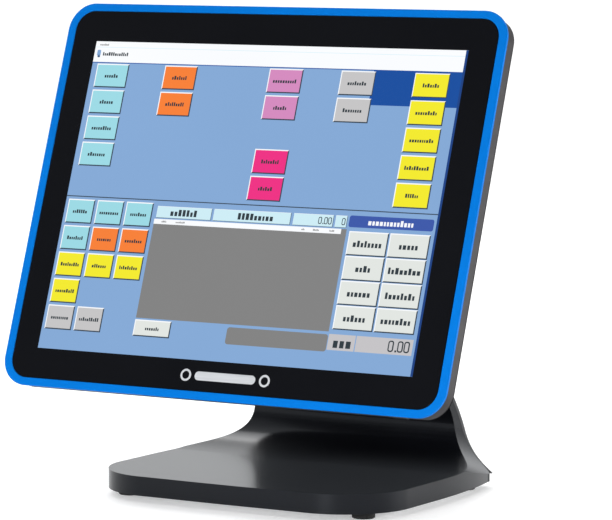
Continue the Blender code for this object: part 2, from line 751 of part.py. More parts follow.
def build_rear_cover(pivot):
    black = material("cover_black", COVER_BLACK, 0.55)
    depth = COVER_BACK - COVER_FRONT
    mesh = outline_mesh([rounded_rect(FRAME_W, FRAME_H, FRAME_R)], depth)
    scale_back(mesh, REAR_W / FRAME_W, REAR_H / FRAME_H)
    cover = piece("rear_cover", mesh, (in_head(0, 0, COVER_FRONT + depth / 2), FACING_BACK), black, pivot)

    side_run = COVER_WALL * math.hypot(TAPER_SIDE, depth) / depth
    end_run = COVER_WALL * math.hypot(TAPER_END, depth) / depth
    width, height = FRAME_W - 2 * side_run, FRAME_H - 2 * end_run
    hollow = outline_mesh([rounded_rect(width, height, FRAME_R - COVER_WALL)], depth)
    scale_back(hollow, (REAR_W - 2 * side_run) / width, (REAR_H - 2 * end_run) / height)
    shift = in_head(0, 0, COVER_FRONT + depth / 2 - COVER_WALL)
    boolean(cover, "DIFFERENCE", guide(hollow, (shift, FACING_BACK), pivot))
    boolean(cover, "DIFFERENCE", bay_opening(pivot))

    vents = []
    for sign in (-1, 1):
        for i in range(VENT_COUNT):
            x = sign * (VENT_X + VENT_L / 2)
            up = VENT_UP + (i - (VENT_COUNT - 1) / 2) * VENT_PITCH
            vents.append(((VENT_L, VENT_W, 4 * COVER_WALL), (x, up, COVER_BACK)))
    boolean(cover, "DIFFERENCE", head_guide_boxes(pivot, *vents))
    places = pattern_places(COVER_BACK) + cover_screw_places(COVER_BACK)
    head_holes(cover, POST_HOLE_R, 4 * COVER_WALL, places, pivot)


def build_head_screws(pivot):
    zinc = material("screw_zinc", ZINC, 0.3, 1.0)
    names = ("left_low", "left_high", "right_low", "right_high")
    for name, place in zip(names, cover_screw_places(COVER_BACK + GAP)):
        screw("cover_screw_" + name, (in_head(*place), BACKWARDS), zinc, pivot)
    outside = COVER_BACK + GAP + PLATE_T + GAP
    for name, place in zip(names, pattern_places(outside)):
        screw("hinge_screw_" + name, (in_head(*place), BACKWARDS), zinc, pivot, SCREW_L + PLATE_T)


def build_button(pivot):
    black = material("button_black", COVER_BLACK, 0.4)
    inner = -FRAME_H / 2 + FRAME_WALL
    low = -FRAME_H / 2 - BUTTON_PROUD
    high = inner + BUTTON_IN
    stem = ((BUTTON_W, high - low, BUTTON_D), (BUTTON_X, (high + low) / 2, BUTTON_DEPTH))
    button = head_boxes("power_button", black, pivot, stem)
    bevel(button, BUTTON_EDGE)
    dark = material("port_plastic", PORT_BLACK, 0.45)
    switch_low = high + BUTTON_STROKE + GAP
    switch_middle = (BUTTON_X, switch_low + SWITCH_H / 2, BUTTON_DEPTH)
    head_boxes("power_switch", dark, pivot, ((SWITCH_W, SWITCH_H, SWITCH_D), switch_middle))


# The hinge


def ear_outline(reach, half_height):
    """An ear seen from the side in Y and Z: foot on the plate, tip round about the axis at (0, 0)."""
    return [(-reach, -half_height), *arc(0, 0, EAR_R, -80, 80, 10), (-reach, half_height)]


def build_head_bracket(pivot):
    steel = material("hinge_steel", STEEL, 0.3, 1.0)
    front = COVER_BACK + GAP
    mesh = outline_mesh([rounded_rect(PLATE_SIDE, PLATE_SIDE, PLATE_R)], PLATE_T)
    place = (in_head(0, -HINGE_DROP, front + PLATE_T / 2), FACING_BACK)
    plate = piece("head_hinge_bracket", mesh, place, steel, pivot)
    reach = HINGE_DEPTH - front - PLATE_T / 2
    for sign in (-1, 1):
        ear = outline_mesh([ear_outline(reach, EAR_FOOT_HALF)], EAR_T)
        boolean(plate, "UNION", guide(ear, ((sign * HEAD_EAR_X, 0, 0), SIDEWAYS), pivot))
    bore = cylinders(SHAFT_R + SHAFT_CLEAR, 2 * PLATE_SIDE, [(0.0, 0.0, 0.0)])
    boolean(plate, "DIFFERENCE", guide(bore, (FLAT, ALONG_X), pivot))
    head_holes(plate, POST_HOLE_R, 4 * PLATE_T, pattern_places(front + PLATE_T / 2), pivot)


def build_stand_bracket(axis):
    """The U bracket on the neck's end, drawn in the frame of the axis with the neck along its +Y."""
    steel = material("hinge_steel", STEEL, 0.3, 1.0)
    lean = empty("neck_direction", FLAT, axis)
    lean.rotation_euler.x = LEAN - math.pi / 2
    width = 2 * STAND_EAR_X + EAR_T
    foot_y = NECK_END_GAP - GAP - PLATE_T / 2
    foot = boxes(((width, PLATE_T, NECK_T), (0, foot_y, 0)))
    bracket = piece("stand_hinge_bracket", foot, (FLAT, FLAT), steel, lean)
    half_foot = NECK_T / 2 - EAR_IN
    for sign in (-1, 1):
        outline = [(foot_y, -half_foot), (foot_y, half_foot), *arc(0, 0, EAR_R, 100, 260, 10)]
        ear = outline_mesh([outline], EAR_T)
        boolean(bracket, "UNION", guide(ear, ((sign * STAND_EAR_X, 0, 0), SIDEWAYS), lean))
    bore = cylinders(SHAFT_R + GAP, 2 * width, [(0.0, 0.0, 0.0)])
    boolean(bracket, "DIFFERENCE", guide(bore, (FLAT, ALONG_X), lean))
    for side, sign in (("left", -1), ("right", 1)):
        x = sign * BRACKET_SCREW_X
        hole = cylinders(POST_HOLE_R, 4 * PLATE_T, [(0.0, 0.0, 0.0)], HOLE_STEPS)
        boolean(bracket, "DIFFERENCE", guide(hole, ((x, foot_y, 0), FACING_BACK), lean))
        seat = foot_y - PLATE_T / 2 - GAP
        zinc = material("screw_zinc", ZINC, 0.3, 1.0)
        screw("bracket_screw_" + side, ((x, seat, 0), FACING_BACK), zinc, lean)
    return lean


def build_shaft(axis):
    steel = material("hinge_steel", STEEL, 0.3, 1.0)
    half = NUT_X + NUT_T + SHAFT_PROUD
    end = SHAFT_R - SHAFT_EDGE
    edge = half - SHAFT_EDGE
    profile = [(0.0, half), (end, half), (SHAFT_R, edge), (SHAFT_R, -edge), (end, -half), (0.0, -half)]
    turned("hinge_shaft", profile, (FLAT, ALONG_X), steel, axis)

    black = material("cover_black", COVER_BLACK, 0.55)
    half = STAND_EAR_X - EAR_T / 2 - GAP
    sleeve = [(RING_R, half), (SLEEVE_R, half), (SLEEVE_R, -half), (RING_R, -half)]
    turned("hinge_sleeve", sleeve, (FLAT, ALONG_X), black, axis, closed=True)


def build_hinge_ends(axis):
    """The disc springs and nuts that hold the shaft."""
    steel = material("hinge_steel", STEEL, 0.3, 1.0)
    high, low = SPRING_T / 2, SPRING_T * SPRING_RISE
    dish = [(RING_R, high), (NUT_R, low), (NUT_R, -high), (RING_R, -low)]
    for side, sign in (("left", -1), ("right", 1)):
        place = ((sign * (SPRING_X + SPRING_T / 2), 0, 0), (0, sign * math.pi / 2, 0))
        turned("disc_spring_" + side, dish, place, steel, axis, closed=True)
        mesh = cylinders(NUT_R, NUT_T, [(0.0, 0.0, 0.0)], 6)
        place = ((sign * (NUT_X + NUT_T / 2), 0, 0), ALONG_X)
        nut = piece("hinge_nut_" + side, mesh, place, steel, axis)
        bore = cylinders(RING_R, 3 * NUT_T, [(0.0, 0.0, 0.0)])
        boolean(nut, "DIFFERENCE", guide(bore, ((sign * NUT_X, 0, 0), ALONG_X), axis))


# The stand


def neck_end(offset):
    """A point of the neck's end face, offset towards the rear from its middle line, as (y, z)."""
    y = HINGE_Y + NECK_END_GAP * math.sin(LEAN) + offset * math.cos(LEAN)
    z = HINGE_Z - NECK_END_GAP * math.cos(LEAN) + offset * math.sin(LEAN)
    return (y, z)


def back_along(point, run):
    """The point this far down the neck from a point of its end."""
    return (point[0] + run * math.sin(LEAN), point[1] - run * math.cos(LEAN))


def front_curve(inset):
    """The base's top and the neck's front as (y, z) points, set into the metal by inset."""
    top = BASE_TOP - inset
    bend_y = NECK_FRONT_Y + inset
    bend_z = BASE_TOP + BEND_RISE
    end = neck_end(-NECK_T / 2 + inset)
    start = (NECK_FRONT_Y - SWEEP_RUN, top)
    (run, lift), below = SWEEP_HANDLES
    above, down = RISE_HANDLES
    bend = (bend_y, bend_z)
    low_handle = (bend_y, bend_z - below - inset / 2)
    sweep = bezier(start, (NECK_FRONT_Y - run, top + lift), low_handle, bend)
    rise = bezier(bend, (bend_y, bend_z + above), back_along(end, down), end)
    return sweep + rise[1:]


def rear_curve(inset):
    """The neck's rear as (y, z) points from the foot up, set in by inset."""
    rear_y = CABLE_COVER_REAR_Y - inset
    low = BASE_TOP + REAR_RISE
    end = neck_end(NECK_T / 2 - inset)
    above, down = REAR_HANDLES
    return bezier((rear_y, low), (rear_y, low + above - inset / 2), back_along(end, down), end)


def side_prism(points, parent, name=None, look=None):
    """A side profile given more than the stand's width, as a guide unless it has a name."""
    mesh = outline_mesh([points], 2 * (BASE_HALF_W + BEYOND))
    if name is None:
        return guide(mesh, (FLAT, SIDEWAYS), parent)
    return piece(name, mesh, (FLAT, SIDEWAYS), look, parent)


def tipped_height(y, z):
    """Height in the flare's own direction, which falls to the rear."""
    return z * math.cos(FLARE) + y * math.sin(FLARE)


def stand_width(inset, parent):
    """The stand's width against its height, a prism tipped down to the rear by the flare's angle."""
    wide, narrow, top = BASE_HALF_W - inset, NECK_HALF_W - inset, NECK_TOP_HALF_W - inset
    waist = tipped_height(NECK_FRONT_Y, BASE_TOP + BEND_RISE)
    start = waist - FLARE_RUN
    end = tipped_height(*neck_end(0.0))
    taper = (end - waist) * NECK_TAPER_PART
    at_edge, (out, down) = FLARE_HANDLES
    waist_handle = (narrow + out, waist - down)
    right = [(wide, -10 * BEYOND)]
    right += bezier((wide, start), (wide, start + at_edge), waist_handle, (narrow, waist), 14)
    leaving = (narrow - taper * out / down, waist + taper)
    right += bezier((narrow, waist), leaving, (top, end - taper), (top, end), 8)[1:]
    right += [(top, end + 10 * BEYOND)]
    left = [(-x, y) for x, y in reversed(right)]
    mesh = outline_mesh([right + left], 0.8)
    return guide(mesh, (FLAT, (math.pi / 2 - FLARE, 0.0, 0.0)), parent)


def plan_outline(inset):
    """The base seen from above, with a slightly bowed front."""
    wide = BASE_HALF_W - inset
    front = BASE_FRONT_Y + inset
    rear = BASE_REAR_Y - inset
    radius = BASE_FRONT_R - inset
    corner = BASE_REAR_R - inset
    rear_wide = BASE_REAR_HALF_W - inset
    bowed = front - FRONT_BOW
    near, far = BOW_HANDLES
    right = bezier((0.0, bowed), (near, bowed), (far, front), (wide - radius, front), 4)
    right += arc(wide - radius, front + radius, radius, -90, 0, 12)[1:]
    tuck = (rear_wide + TUCK[0], rear - TUCK[1])
    first, second, (out, back) = SIDE_HANDLES
    handle = (tuck[0] + out, tuck[1] - back)
    right += bezier((wide, BASE_REAR_Y - first), (wide, BASE_REAR_Y - second), handle, tuck, 6)
    right += arc(rear_wide - corner / 2, rear - corner, corner, 12, 90, 5)
    left = [(-x, y) for x, y in reversed(right) if x > 0]
    return right + left


def stand_blank(points, inset, parent, name=None, look=None, plan=True):
    """A side profile cut to the stand's width and, for the base, to its outline from above."""
    body = side_prism(points, parent, name, look)
    boolean(body, "INTERSECT", stand_width(inset, parent))
    if plan:
        outline = guide(outline_mesh([plan_outline(inset)], 1.0), (FLAT, FLAT), parent)
        boolean(body, "INTERSECT", outline)
    return body


def bottom_screw_places(z):
    rows = (BOTTOM_SCREW_FRONT_Y, BOTTOM_SCREW_REAR_Y)
    return [(x, y, z) for y in rows for x in (-BOTTOM_SCREW_X, BOTTOM_SCREW_X)]


def cable_exit(root):
    size = (CABLE_EXIT_W, CABLE_EXIT_D, CABLE_EXIT_H + GAP)
    middle = (0, CABLE_COVER_REAR_Y, CABLE_COVER_LOW_Z + (CABLE_EXIT_H - GAP) / 2)
    return guide(boxes((size, middle)), (FLAT, FLAT), root)


def base_hollow(root):
    """The space under the base, open at the bottom."""
    wall = CASTING_WALL
    before = BASE_FRONT_Y - BEYOND
    rear = BASE_REAR_Y - wall
    sweep = front_curve(wall)[: CURVE_STEPS + 1]
    low = FOOT_H - BEYOND
    under = [(before, low), (before, BASE_TOP - wall), *sweep, (rear, sweep[-1][1]), (rear, low)]
    return stand_blank(under, wall, root)


def cable_channel(root, lean):
    """The space down the back of the neck, with a solid block left at the neck's end."""
    behind = CABLE_COVER_REAR_Y + 3 * BEYOND
    channel = front_curve(CASTING_WALL)[CURVE_STEPS // 3 :]
    last_y, last_z = channel[-1]
    channel += [(last_y + 3 * BEYOND, last_z + 3 * BEYOND), (behind, 10 * BEYOND)]
    channel += [(behind, BASE_TOP + REAR_RISE)]
    core = stand_blank(channel, CASTING_WALL, root, plan=False)
    block = boxes(((3 * NECK_TOP_HALF_W, 2 * END_BLOCK, 10 * BEYOND), (0, NECK_END_GAP, 0)))
    boolean(core, "DIFFERENCE", guide(block, (FLAT, FLAT), lean))
    return core


def build_casting(root, lean):
    metal = material("stand_metal", STAND_BLACK, 0.38, 0.6)
    before = BASE_FRONT_Y - BEYOND
    rear = rear_curve(COVER_T + GAP)
    outline = [(before, FOOT_H), (before, BASE_TOP), *front_curve(0.0), *reversed(rear)]
    outline += [(rear[0][0], FOOT_H)]
    casting = stand_blank(outline, 0.0, root, "stand_casting", metal)
    boolean(casting, "DIFFERENCE", base_hollow(root))
    boolean(casting, "DIFFERENCE", cable_channel(root, lean))
    add_bosses(casting, root)
    boolean(casting, "DIFFERENCE", cable_exit(root))
    for sign in (-1, 1):
        hole = cylinders(POST_HOLE_R, 2 * (SCREW_L + 2 * SCREW_CLEAR), [(0, 0, 0)], HOLE_STEPS)
        place = ((sign * BRACKET_SCREW_X, NECK_END_GAP, 0), FACING_BACK)
        boolean(casting, "DIFFERENCE", guide(hole, place, lean))


def add_bosses(casting, root):
    """Bosses for the bottom plate's screws, with their holes."""
    low = FOOT_H + BOTTOM_T + GAP
    height = BASE_TOP - CASTING_WALL / 2 - low
    for place in bottom_screw_places(low + height / 2):
        boss = cylinders(BOSS_R, height, [(0, 0, 0)], HOLE_STEPS)
        boolean(casting, "UNION", guide(boss, (place, FLAT), root))
    for place in bottom_screw_places(low):
        hole = cylinders(POST_HOLE_R, 2 * (SCREW_L + SCREW_CLEAR), [(0, 0, 0)], SCREW_STEPS)
        boolean(casting, "DIFFERENCE", guide(hole, (place, FLAT), root))


def build_cable_cover(root, lean):
    black = material("cable_cover_black", COVER_BLACK, 0.5)
    rear, low = CABLE_COVER_REAR_Y, CABLE_COVER_LOW_Z
    points = [(rear, low), *rear_curve(0.0), *reversed(rear_curve(COVER_T)), (rear - COVER_T, low)]
    cover = stand_blank(points, 0.0, root, "cable_cover", black, plan=False)
    boolean(cover, "DIFFERENCE", cable_exit(root))
    slot_y = NECK_END_GAP + END_BLOCK + CABLE_SLOT_L / 2 + CABLE_SLOT_CLEAR
    slot = boxes(((CABLE_SLOT_W, CABLE_SLOT_L, 2 * BEYOND), (0, slot_y, NECK_T / 2)))
    boolean(cover, "DIFFERENCE", guide(slot, (FLAT, FLAT), lean))


def build_bottom_plate(root):
    steel = material("steel", STEEL, 0.35, 1.0)
    sheet = outline_mesh([plan_outline(CASTING_WALL + GAP)], BOTTOM_T)
    place = ((0, 0, FOOT_H + BOTTOM_T / 2), FLAT)
    plate = piece("bottom_plate", sheet, place, steel, root)
    for at in bottom_screw_places(FOOT_H):
        hole = cylinders(POST_HOLE_R, 4 * BOTTOM_T, [(0, 0, 0)], SCREW_STEPS)
        boolean(plate, "DIFFERENCE", guide(hole, (at, FLAT), root))
    zinc = material("screw_zinc", ZINC, 0.3, 1.0)
    names = ("front_left", "front_right", "rear_left", "rear_right")
    for name, at in zip(names, bottom_screw_places(FOOT_H - GAP)):
        screw("bottom_screw_" + name, (at, DOWNWARDS), zinc, root)


def build_weight(root):
    iron = material("ballast_iron", IRON, 0.6, 0.9)
    z = FOOT_H + BOTTOM_T + GAP + WEIGHT_T / 2
    weight = outline_mesh([rounded_rect(WEIGHT_W, WEIGHT_D, WEIGHT_R)], WEIGHT_T)
    piece("base_weight", weight, ((0, WEIGHT_Y, z), FLAT), iron, root)


def build_feet(root):
    rubber = material("rubber", RUBBER_BLACK, 0.9)
    top = FOOT_H - GAP
    profile = [(0.0, top), (FOOT_R, top), (FOOT_R, FOOT_EDGE), (FOOT_R - FOOT_EDGE, 0.0), (0.0, 0.0)]
    for end, y in (("front", FOOT_FRONT_Y), ("rear", FOOT_REAR_Y)):
        for side, x in (("left", -FOOT_X), ("right", FOOT_X)):
            turned("foot_" + end + "_" + side, profile, ((x, y, 0), FLAT), rubber, root)


def settle(root):
    """Moves the root so that the origin is under the middle of the whole object."""
    bpy.context.view_layer.update()
    graph = bpy.context.evaluated_depsgraph_get()
    low, high = Vector((1e9,) * 3), Vector((-1e9,) * 3)
    for obj in collection("pos_terminal").objects:
        if obj.type == "EMPTY":
            continue
        solid = obj.evaluated_get(graph)
        for vertex in solid.to_mesh().vertices:
            point = solid.matrix_world @ vertex.co
            low = Vector(map(min, low, point))
            high = Vector(map(max, high, point))
        solid.to_mesh_clear()
    root.location = (-(low.x + high.x) / 2, -(low.y + high.y) / 2, -low.z)


def build():
    clear_scene()
    root = empty("terminal", FLAT)
    axis = empty("hinge_axis", (0, HINGE_Y, HINGE_Z), root)
    pivot = empty("head_pivot", FLAT, axis)
    pivot.rotation_euler.x = -TILT

    build_front(pivot)
    build_mid_frame(pivot)
    build_display(pivot)
    build_chassis(pivot)
    build_mainboard(pivot)
    build_heatsink(pivot)
    build_cards(pivot)
    build_speakers(pivot)
    build_ports(pivot)
    build_port_bracket(pivot)
    build_rear_cover(pivot)
    build_head_screws(pivot)
    build_button(pivot)
    build_head_bracket(pivot)
    lean = build_stand_bracket(axis)
    build_shaft(axis)
    build_hinge_ends(axis)
    build_casting(root, lean)
    build_cable_cover(root, lean)
    build_bottom_plate(root)
    build_weight(root)
    build_feet(root)
    collection("guides").hide_render = True
    settle(root)


build()
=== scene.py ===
import json
import math
import random

import bmesh
import bpy
from mathutils import Matrix, Vector


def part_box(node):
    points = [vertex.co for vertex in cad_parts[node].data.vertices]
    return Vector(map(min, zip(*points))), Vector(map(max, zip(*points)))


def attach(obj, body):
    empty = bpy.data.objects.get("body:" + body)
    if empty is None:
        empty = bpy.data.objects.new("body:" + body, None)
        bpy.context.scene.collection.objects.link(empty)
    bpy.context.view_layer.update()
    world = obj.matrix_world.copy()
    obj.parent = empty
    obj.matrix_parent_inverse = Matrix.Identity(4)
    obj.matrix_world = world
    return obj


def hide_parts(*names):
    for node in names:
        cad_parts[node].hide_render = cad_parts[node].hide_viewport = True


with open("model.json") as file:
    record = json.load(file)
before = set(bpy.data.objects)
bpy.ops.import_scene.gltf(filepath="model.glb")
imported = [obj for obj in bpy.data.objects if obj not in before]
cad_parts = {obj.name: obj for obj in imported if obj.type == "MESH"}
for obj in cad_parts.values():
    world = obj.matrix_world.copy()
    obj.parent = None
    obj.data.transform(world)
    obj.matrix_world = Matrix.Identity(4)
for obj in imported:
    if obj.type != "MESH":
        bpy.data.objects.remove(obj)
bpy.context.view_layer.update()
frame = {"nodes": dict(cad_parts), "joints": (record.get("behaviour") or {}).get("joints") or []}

SCENE = bpy.context.scene
SCENE.view_settings.view_transform = "Standard"

# Finish of the meshes
ARC_STEPS = 20  # segments in a rounded corner
CURVE_STEPS = 40  # segments in a Bezier stretch of the stand's profile
ROUND_STEPS = 48  # segments in a turned piece
SMALL_STEPS = 8  # segments in the rounded corner of something small
TINY_STEPS = 6
EDGE_STEPS = 3  # segments across a rounded edge
MERGE = 2e-6  # points nearer than this are one
ON_AXIS = 1e-7
SHARP = 35.0  # degrees: an edge that turns more stays sharp
GAP = 0.0003  # between pieces that touch
CLEAR = 0.01  # how far a cutter starts outside what it cuts
THROUGH = 0.03  # how far a cutter goes that passes right through

# Head, in metres: x across, y up the screen, z out of the glass towards the user
BEZEL_SIDE = 0.0203
BEZEL_END = 0.0211
PRINT_TOP = 0.0013  # the black print covers this much of the panel's edge
PRINT_BOTTOM = 0.0004
GLASS_R = 0.014
TRIM_R = 0.02
GLASS_EDGE = 0.0003
TRIM_EDGE = 0.0005
RIM_EDGE = 0.0009
MARK_X = 0.0065
MARK_BAR_W = 0.049
MARK_BAR_H = 0.0062
MARK_BAR_R = 0.003
MARK_RING_X = 0.0318  # from the middle of the bar
MARK_RING_R = 0.0043
MARK_RING_HOLE_R = 0.0028
MARK_RING_STEPS = 40
MARK_FRONT = 0.00005
MARK_BACK = -0.0003
MARK_EDGE = 0.00004
WINDOW_MORE = 0.002  # the frame's window is this much larger than the picture
BUTTON_ROOM = (0.0004, 0.012, 0.0004)
FRAME_INSET = 0.0015
FRAME_WALL = 0.003
WEB_BACK = 0.0066
WEB_FRONT = 0.0046
TAPER_SIDE = 0.045
TAPER_END = 0.038
COVER_WALL = 0.0025
SHOULDER = 0.004
SHOULDER_STEPS = 6
SHOULDER_ANGLE = 20.0
VENT_COUNT = 9
VENT_PITCH = 0.00504
VENT_W = 0.0028
VENT_L = 0.042
VENT_IN = 0.018
VENT_UP = 0.068
VENT_ROUND = 0.49  # radius of a slot's ends, as a share of its width
SCREW_HOLE_R = 0.0018
SCREW_R = 0.0015
SCREW_HEAD_R = 0.003
SCREW_HEAD_H = 0.0016
SCREW_FLAT = 0.6  # reach of the dome's handle from the axis, as a share of the head's radius
SCREW_DOME_Z = 0.0012
SCREW_SIDE_Z = 0.0004
SCREW_STEPS = 24
SCREW_RECESS_W = 0.0006
SCREW_RECESS_L = 0.0032
SCREW_RECESS_DEEP = 0.0011

# Stand, in metres: y towards the rear, z up from the table
BASE_T = 0.0137
BASE_HALF_W = 0.1185
BASE_FRONT_Y = -0.0352
BASE_FRONT_R = 0.051
BASE_REAR_HALF_W = 0.1045
BASE_REAR_Y = 0.1555
BASE_REAR_R = 0.012
FRONT_BOW = 0.0008
FOOT_H = 0.005
NECK_HALF_W = 0.0842
NECK_TOP_HALF_W = 0.070
NECK_DEPTH = 0.0184
NECK_T = 0.0135
NECK_END_GAP = 0.030
LEAN = math.radians(52.0)
SWEEP_RUN = 0.0571
BEND_RISE = 0.0263
REAR_RISE = 0.0053
FLARE_RUN = 0.044
FLARE = math.radians(18.5)
CASTING_WALL = 0.0034
END_BLOCK = 0.016
COVER_T = 0.0037
CABLE_COVER_LOW_Z = 0.0093
CABLE_EXIT_W = 0.05
CABLE_EXIT_H = 0.012
CABLE_SLOT_W = 0.04
CABLE_SLOT_L = 0.014
CABLE_SLOT_R = 0.003
CABLE_SLOT_DOWN = 0.002  # below the casting's end block
STAND_EDGE = 0.0009
COVER_EDGE = 0.0006
STAND_EDGE_ANGLE = 40.0
FOOT_EDGE = 0.0011
FOOT_HOLLOW = 0.0004
FOOT_HOLLOW_R = (0.55, 0.62)  # where the hollow's slope starts and ends, as shares of the foot's radius
BASE_TOP = FOOT_H + BASE_T
COVER_REAR_Y = BASE_REAR_Y + COVER_T + GAP
NECK_FRONT_Y = COVER_REAR_Y - NECK_DEPTH

# Handles of the stand's curves, as distances from the points they shape
SWEEP_HANDLE_Y = 0.01
SWEEP_HANDLE_Z = 0.0012
BEND_HANDLE_BELOW = 0.016
BEND_HANDLE_ABOVE = 0.02
FRONT_END_HANDLE = 0.045
REAR_FOOT_HANDLE = 0.033
REAR_END_HANDLE = 0.060
FLARE_START_HANDLE = 0.015
FLARE_END_OUT = 0.0042
FLARE_END_DOWN = 0.0255
NECK_SIDE_HANDLE = 0.4  # share of the neck's length
BOW_HANDLES_X = (0.03, 0.04)
BOW_STEPS = 12
TUCK_OUT = 0.0055  # where the base's side meets its rear corner, past the corner's own point
TUCK_FORWARD = 0.0105
TUCK_HANDLE_OUT = 0.0035
TUCK_HANDLE_FORWARD = 0.017
SIDE_START_BACK = 0.1
SIDE_HANDLE_BACK = 0.055
CORNER_START = 12.0
CORNER_STEPS = 16

# Blocks that the stand is cut from, all larger than the stand
BLOCK_HALF_X = 0.15
BLOCK_HALF_Y = 0.4
BLOCK_HALF_Z = 0.5
BLOCK_MORE = 0.1
CHANNEL_MOUTH_Z = 0.1


# Frames taken from the CAD


def joint(name):
    return next(j for j in frame["joints"] if j["name"] == name)


UP = Vector(joint("power_button_press")["axis"]).normalized()
SIDE = Vector((1.0, 0.0, 0.0))
TILTED = Matrix((SIDE, UP, SIDE.cross(UP))).transposed()


def box_in(space, node):
    """Lowest and highest corners of a CAD node, measured in this space."""
    inverse = space.inverted()
    points = [inverse @ v.co for v in frame["nodes"][node].data.vertices]
    low, high = ([pick(p[k] for p in points) for k in range(3)] for pick in (min, max))
    return Vector(low), Vector(high)


glass_low, glass_high = box_in(TILTED, "touch_glass")
middle = (glass_low + glass_high) / 2
GLASS_W = glass_high.x - glass_low.x
GLASS_H = glass_high.y - glass_low.y
GLASS_T = glass_high.z - glass_low.z
HEAD = Matrix.Translation(TILTED @ Vector((middle.x, middle.y, glass_high.z))) @ TILTED.to_4x4()

HINGE = Vector(joint("head_tilt")["pos_m"])
STAND_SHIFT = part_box("stand_casting")[0].y - (BASE_FRONT_Y - FRONT_BOW)
STAND = Matrix.Translation((0.0, STAND_SHIFT, 0.0))
HINGE_Y = HINGE.y - STAND_SHIFT
HINGE_Z = HINGE.z
NECK = Matrix.Translation((0.0, HINGE_Y, HINGE_Z)) @ Matrix.Rotation(LEAN - math.pi / 2, 4, "X")
SIDEWAYS = Matrix.Rotation(math.pi / 2, 4, "Z") @ Matrix.Rotation(math.pi / 2, 4, "X")
TURNED_OVER = Matrix.Rotation(math.pi, 4, "X")


# Outlines


def arc(cx, cy, radius, start_deg, end_deg, steps=ARC_STEPS):
    turns = [math.radians(start_deg + (end_deg - start_deg) * i / steps) for i in range(steps + 1)]
    return [(cx + radius * math.cos(turn), cy + radius * math.sin(turn)) for turn in turns]


def circle(cx, cy, radius, steps):
    return arc(cx, cy, radius, 0, 360 - 360 / steps, steps - 1)


def rounded_rect(width, height, radius, cx=0.0, cy=0.0, steps=ARC_STEPS):
    x, y = width / 2 - radius, height / 2 - radius
    corners = ((x, y, 0), (-x, y, 90), (-x, -y, 180), (x, -y, 270))
    return [point for ox, oy, at in corners for point in arc(cx + ox, cy + oy, radius, at, at + 90, steps)]


def rect(width, height, cx=0.0, cy=0.0):
    x, y = width / 2, height / 2
    return [(cx - x, cy - y), (cx + x, cy - y), (cx + x, cy + y), (cx - x, cy + y)]


def bezier(start, start_handle, end_handle, end, steps=CURVE_STEPS):
    points = []
    for i in range(steps + 1):
        t = i / steps
        weights = ((1 - t) ** 3, 3 * (1 - t) ** 2 * t, 3 * (1 - t) * t**2, t**3)
        ends = (start, start_handle, end_handle, end)
        points.append(tuple(sum(w * p[k] for w, p in zip(weights, ends)) for k in (0, 1)))
    return points


# Meshes


def slab(outlines, front, back, edge=0.0):
    """A flat solid from z = back to z = front. The first outline is its rim and the others are holes."""
    thickness = front - back
    data = bpy.data.curves.new("outline", "CURVE")
    data.dimensions = "2D"
    data.fill_mode = "BOTH"
    data.extrude = thickness / 2 - edge
    data.bevel_depth = edge
    data.bevel_resolution = EDGE_STEPS
    data.offset = -edge
    for points in outlines:
        spline = data.splines.new("POLY")
        spline.points.add(len(points) - 1)
        spline.use_cyclic_u = True
        for point, (x, y) in zip(spline.points, points):
            point.co = (x, y, 0.0, 1.0)
    obj = bpy.data.objects.new("outline", data)
    SCENE.collection.objects.link(obj)
    mesh = bpy.data.meshes.new_from_object(obj.evaluated_get(bpy.context.evaluated_depsgraph_get()))
    bpy.data.objects.remove(obj, do_unlink=True)
    shape = bmesh.new()
    shape.from_mesh(mesh)
    bmesh.ops.remove_doubles(shape, verts=shape.verts, dist=MERGE)
    bmesh.ops.recalc_face_normals(shape, faces=shape.faces)
    shape.to_mesh(mesh)
    shape.free()
    mesh.transform(Matrix.Translation((0.0, 0.0, (front + back) / 2)))
    return mesh


def boxes(*sizes_and_middles):
    shape = bmesh.new()
    for size, at in sizes_and_middles:
        bmesh.ops.create_cube(shape, size=1.0, matrix=Matrix.LocRotScale(Vector(at), None, Vector(size)))
    return as_mesh(shape, "boxes")


def cylinders(radius, length, places, segments=ROUND_STEPS):
    shape = bmesh.new()
    for place in places:
        bmesh.ops.create_cone(
            shape,
            cap_ends=True,
            segments=segments,
            radius1=radius,
            radius2=radius,
            depth=length,
            matrix=Matrix.Translation(place),
        )
    return as_mesh(shape, "cylinders")


def as_mesh(shape, name):
    mesh = bpy.data.meshes.new(name)
    shape.to_mesh(mesh)
    shape.free()
    return mesh


def turned_mesh(profile, steps=ROUND_STEPS):
    """A solid of revolution about z from (radius, height) points, whose first and last lie on the axis."""
    shape = bmesh.new()
    rings = []
    for radius, height in profile:
        if radius < ON_AXIS:
            rings.append([shape.verts.new((0.0, 0.0, height))])
            continue
        turns = [2 * math.pi * i / steps for i in range(steps)]
        rings.append([shape.verts.new((radius * math.cos(a), radius * math.sin(a), height)) for a in turns])
    for first, second in zip(rings, rings[1:]):
        for i in range(steps):
            j = (i + 1) % steps
            corners = [first[i % len(first)], first[j % len(first)]]
            corners += [second[j % len(second)], second[i % len(second)]]
            shape.faces.new(list(dict.fromkeys(corners)))
    bmesh.ops.recalc_face_normals(shape, faces=shape.faces)
    return as_mesh(shape, "turned")


def placed(name, mesh, place=Matrix()):
    obj = bpy.data.objects.new(name, mesh)
    obj.matrix_world = place
    SCENE.collection.objects.link(obj)
    return obj


def cutter(mesh, place=Matrix()):
    return placed("cutter", mesh, place)


def cut(obj, tool, operation="DIFFERENCE"):
    """Takes the tool's shape away, or keeps only what is inside it. The tool itself goes."""
    modifier = obj.modifiers.new("cut", "BOOLEAN")
    modifier.operation = operation
    modifier.solver = "EXACT"
    modifier.object = tool
    apply_modifiers(obj)
    bpy.data.objects.remove(tool, do_unlink=True)


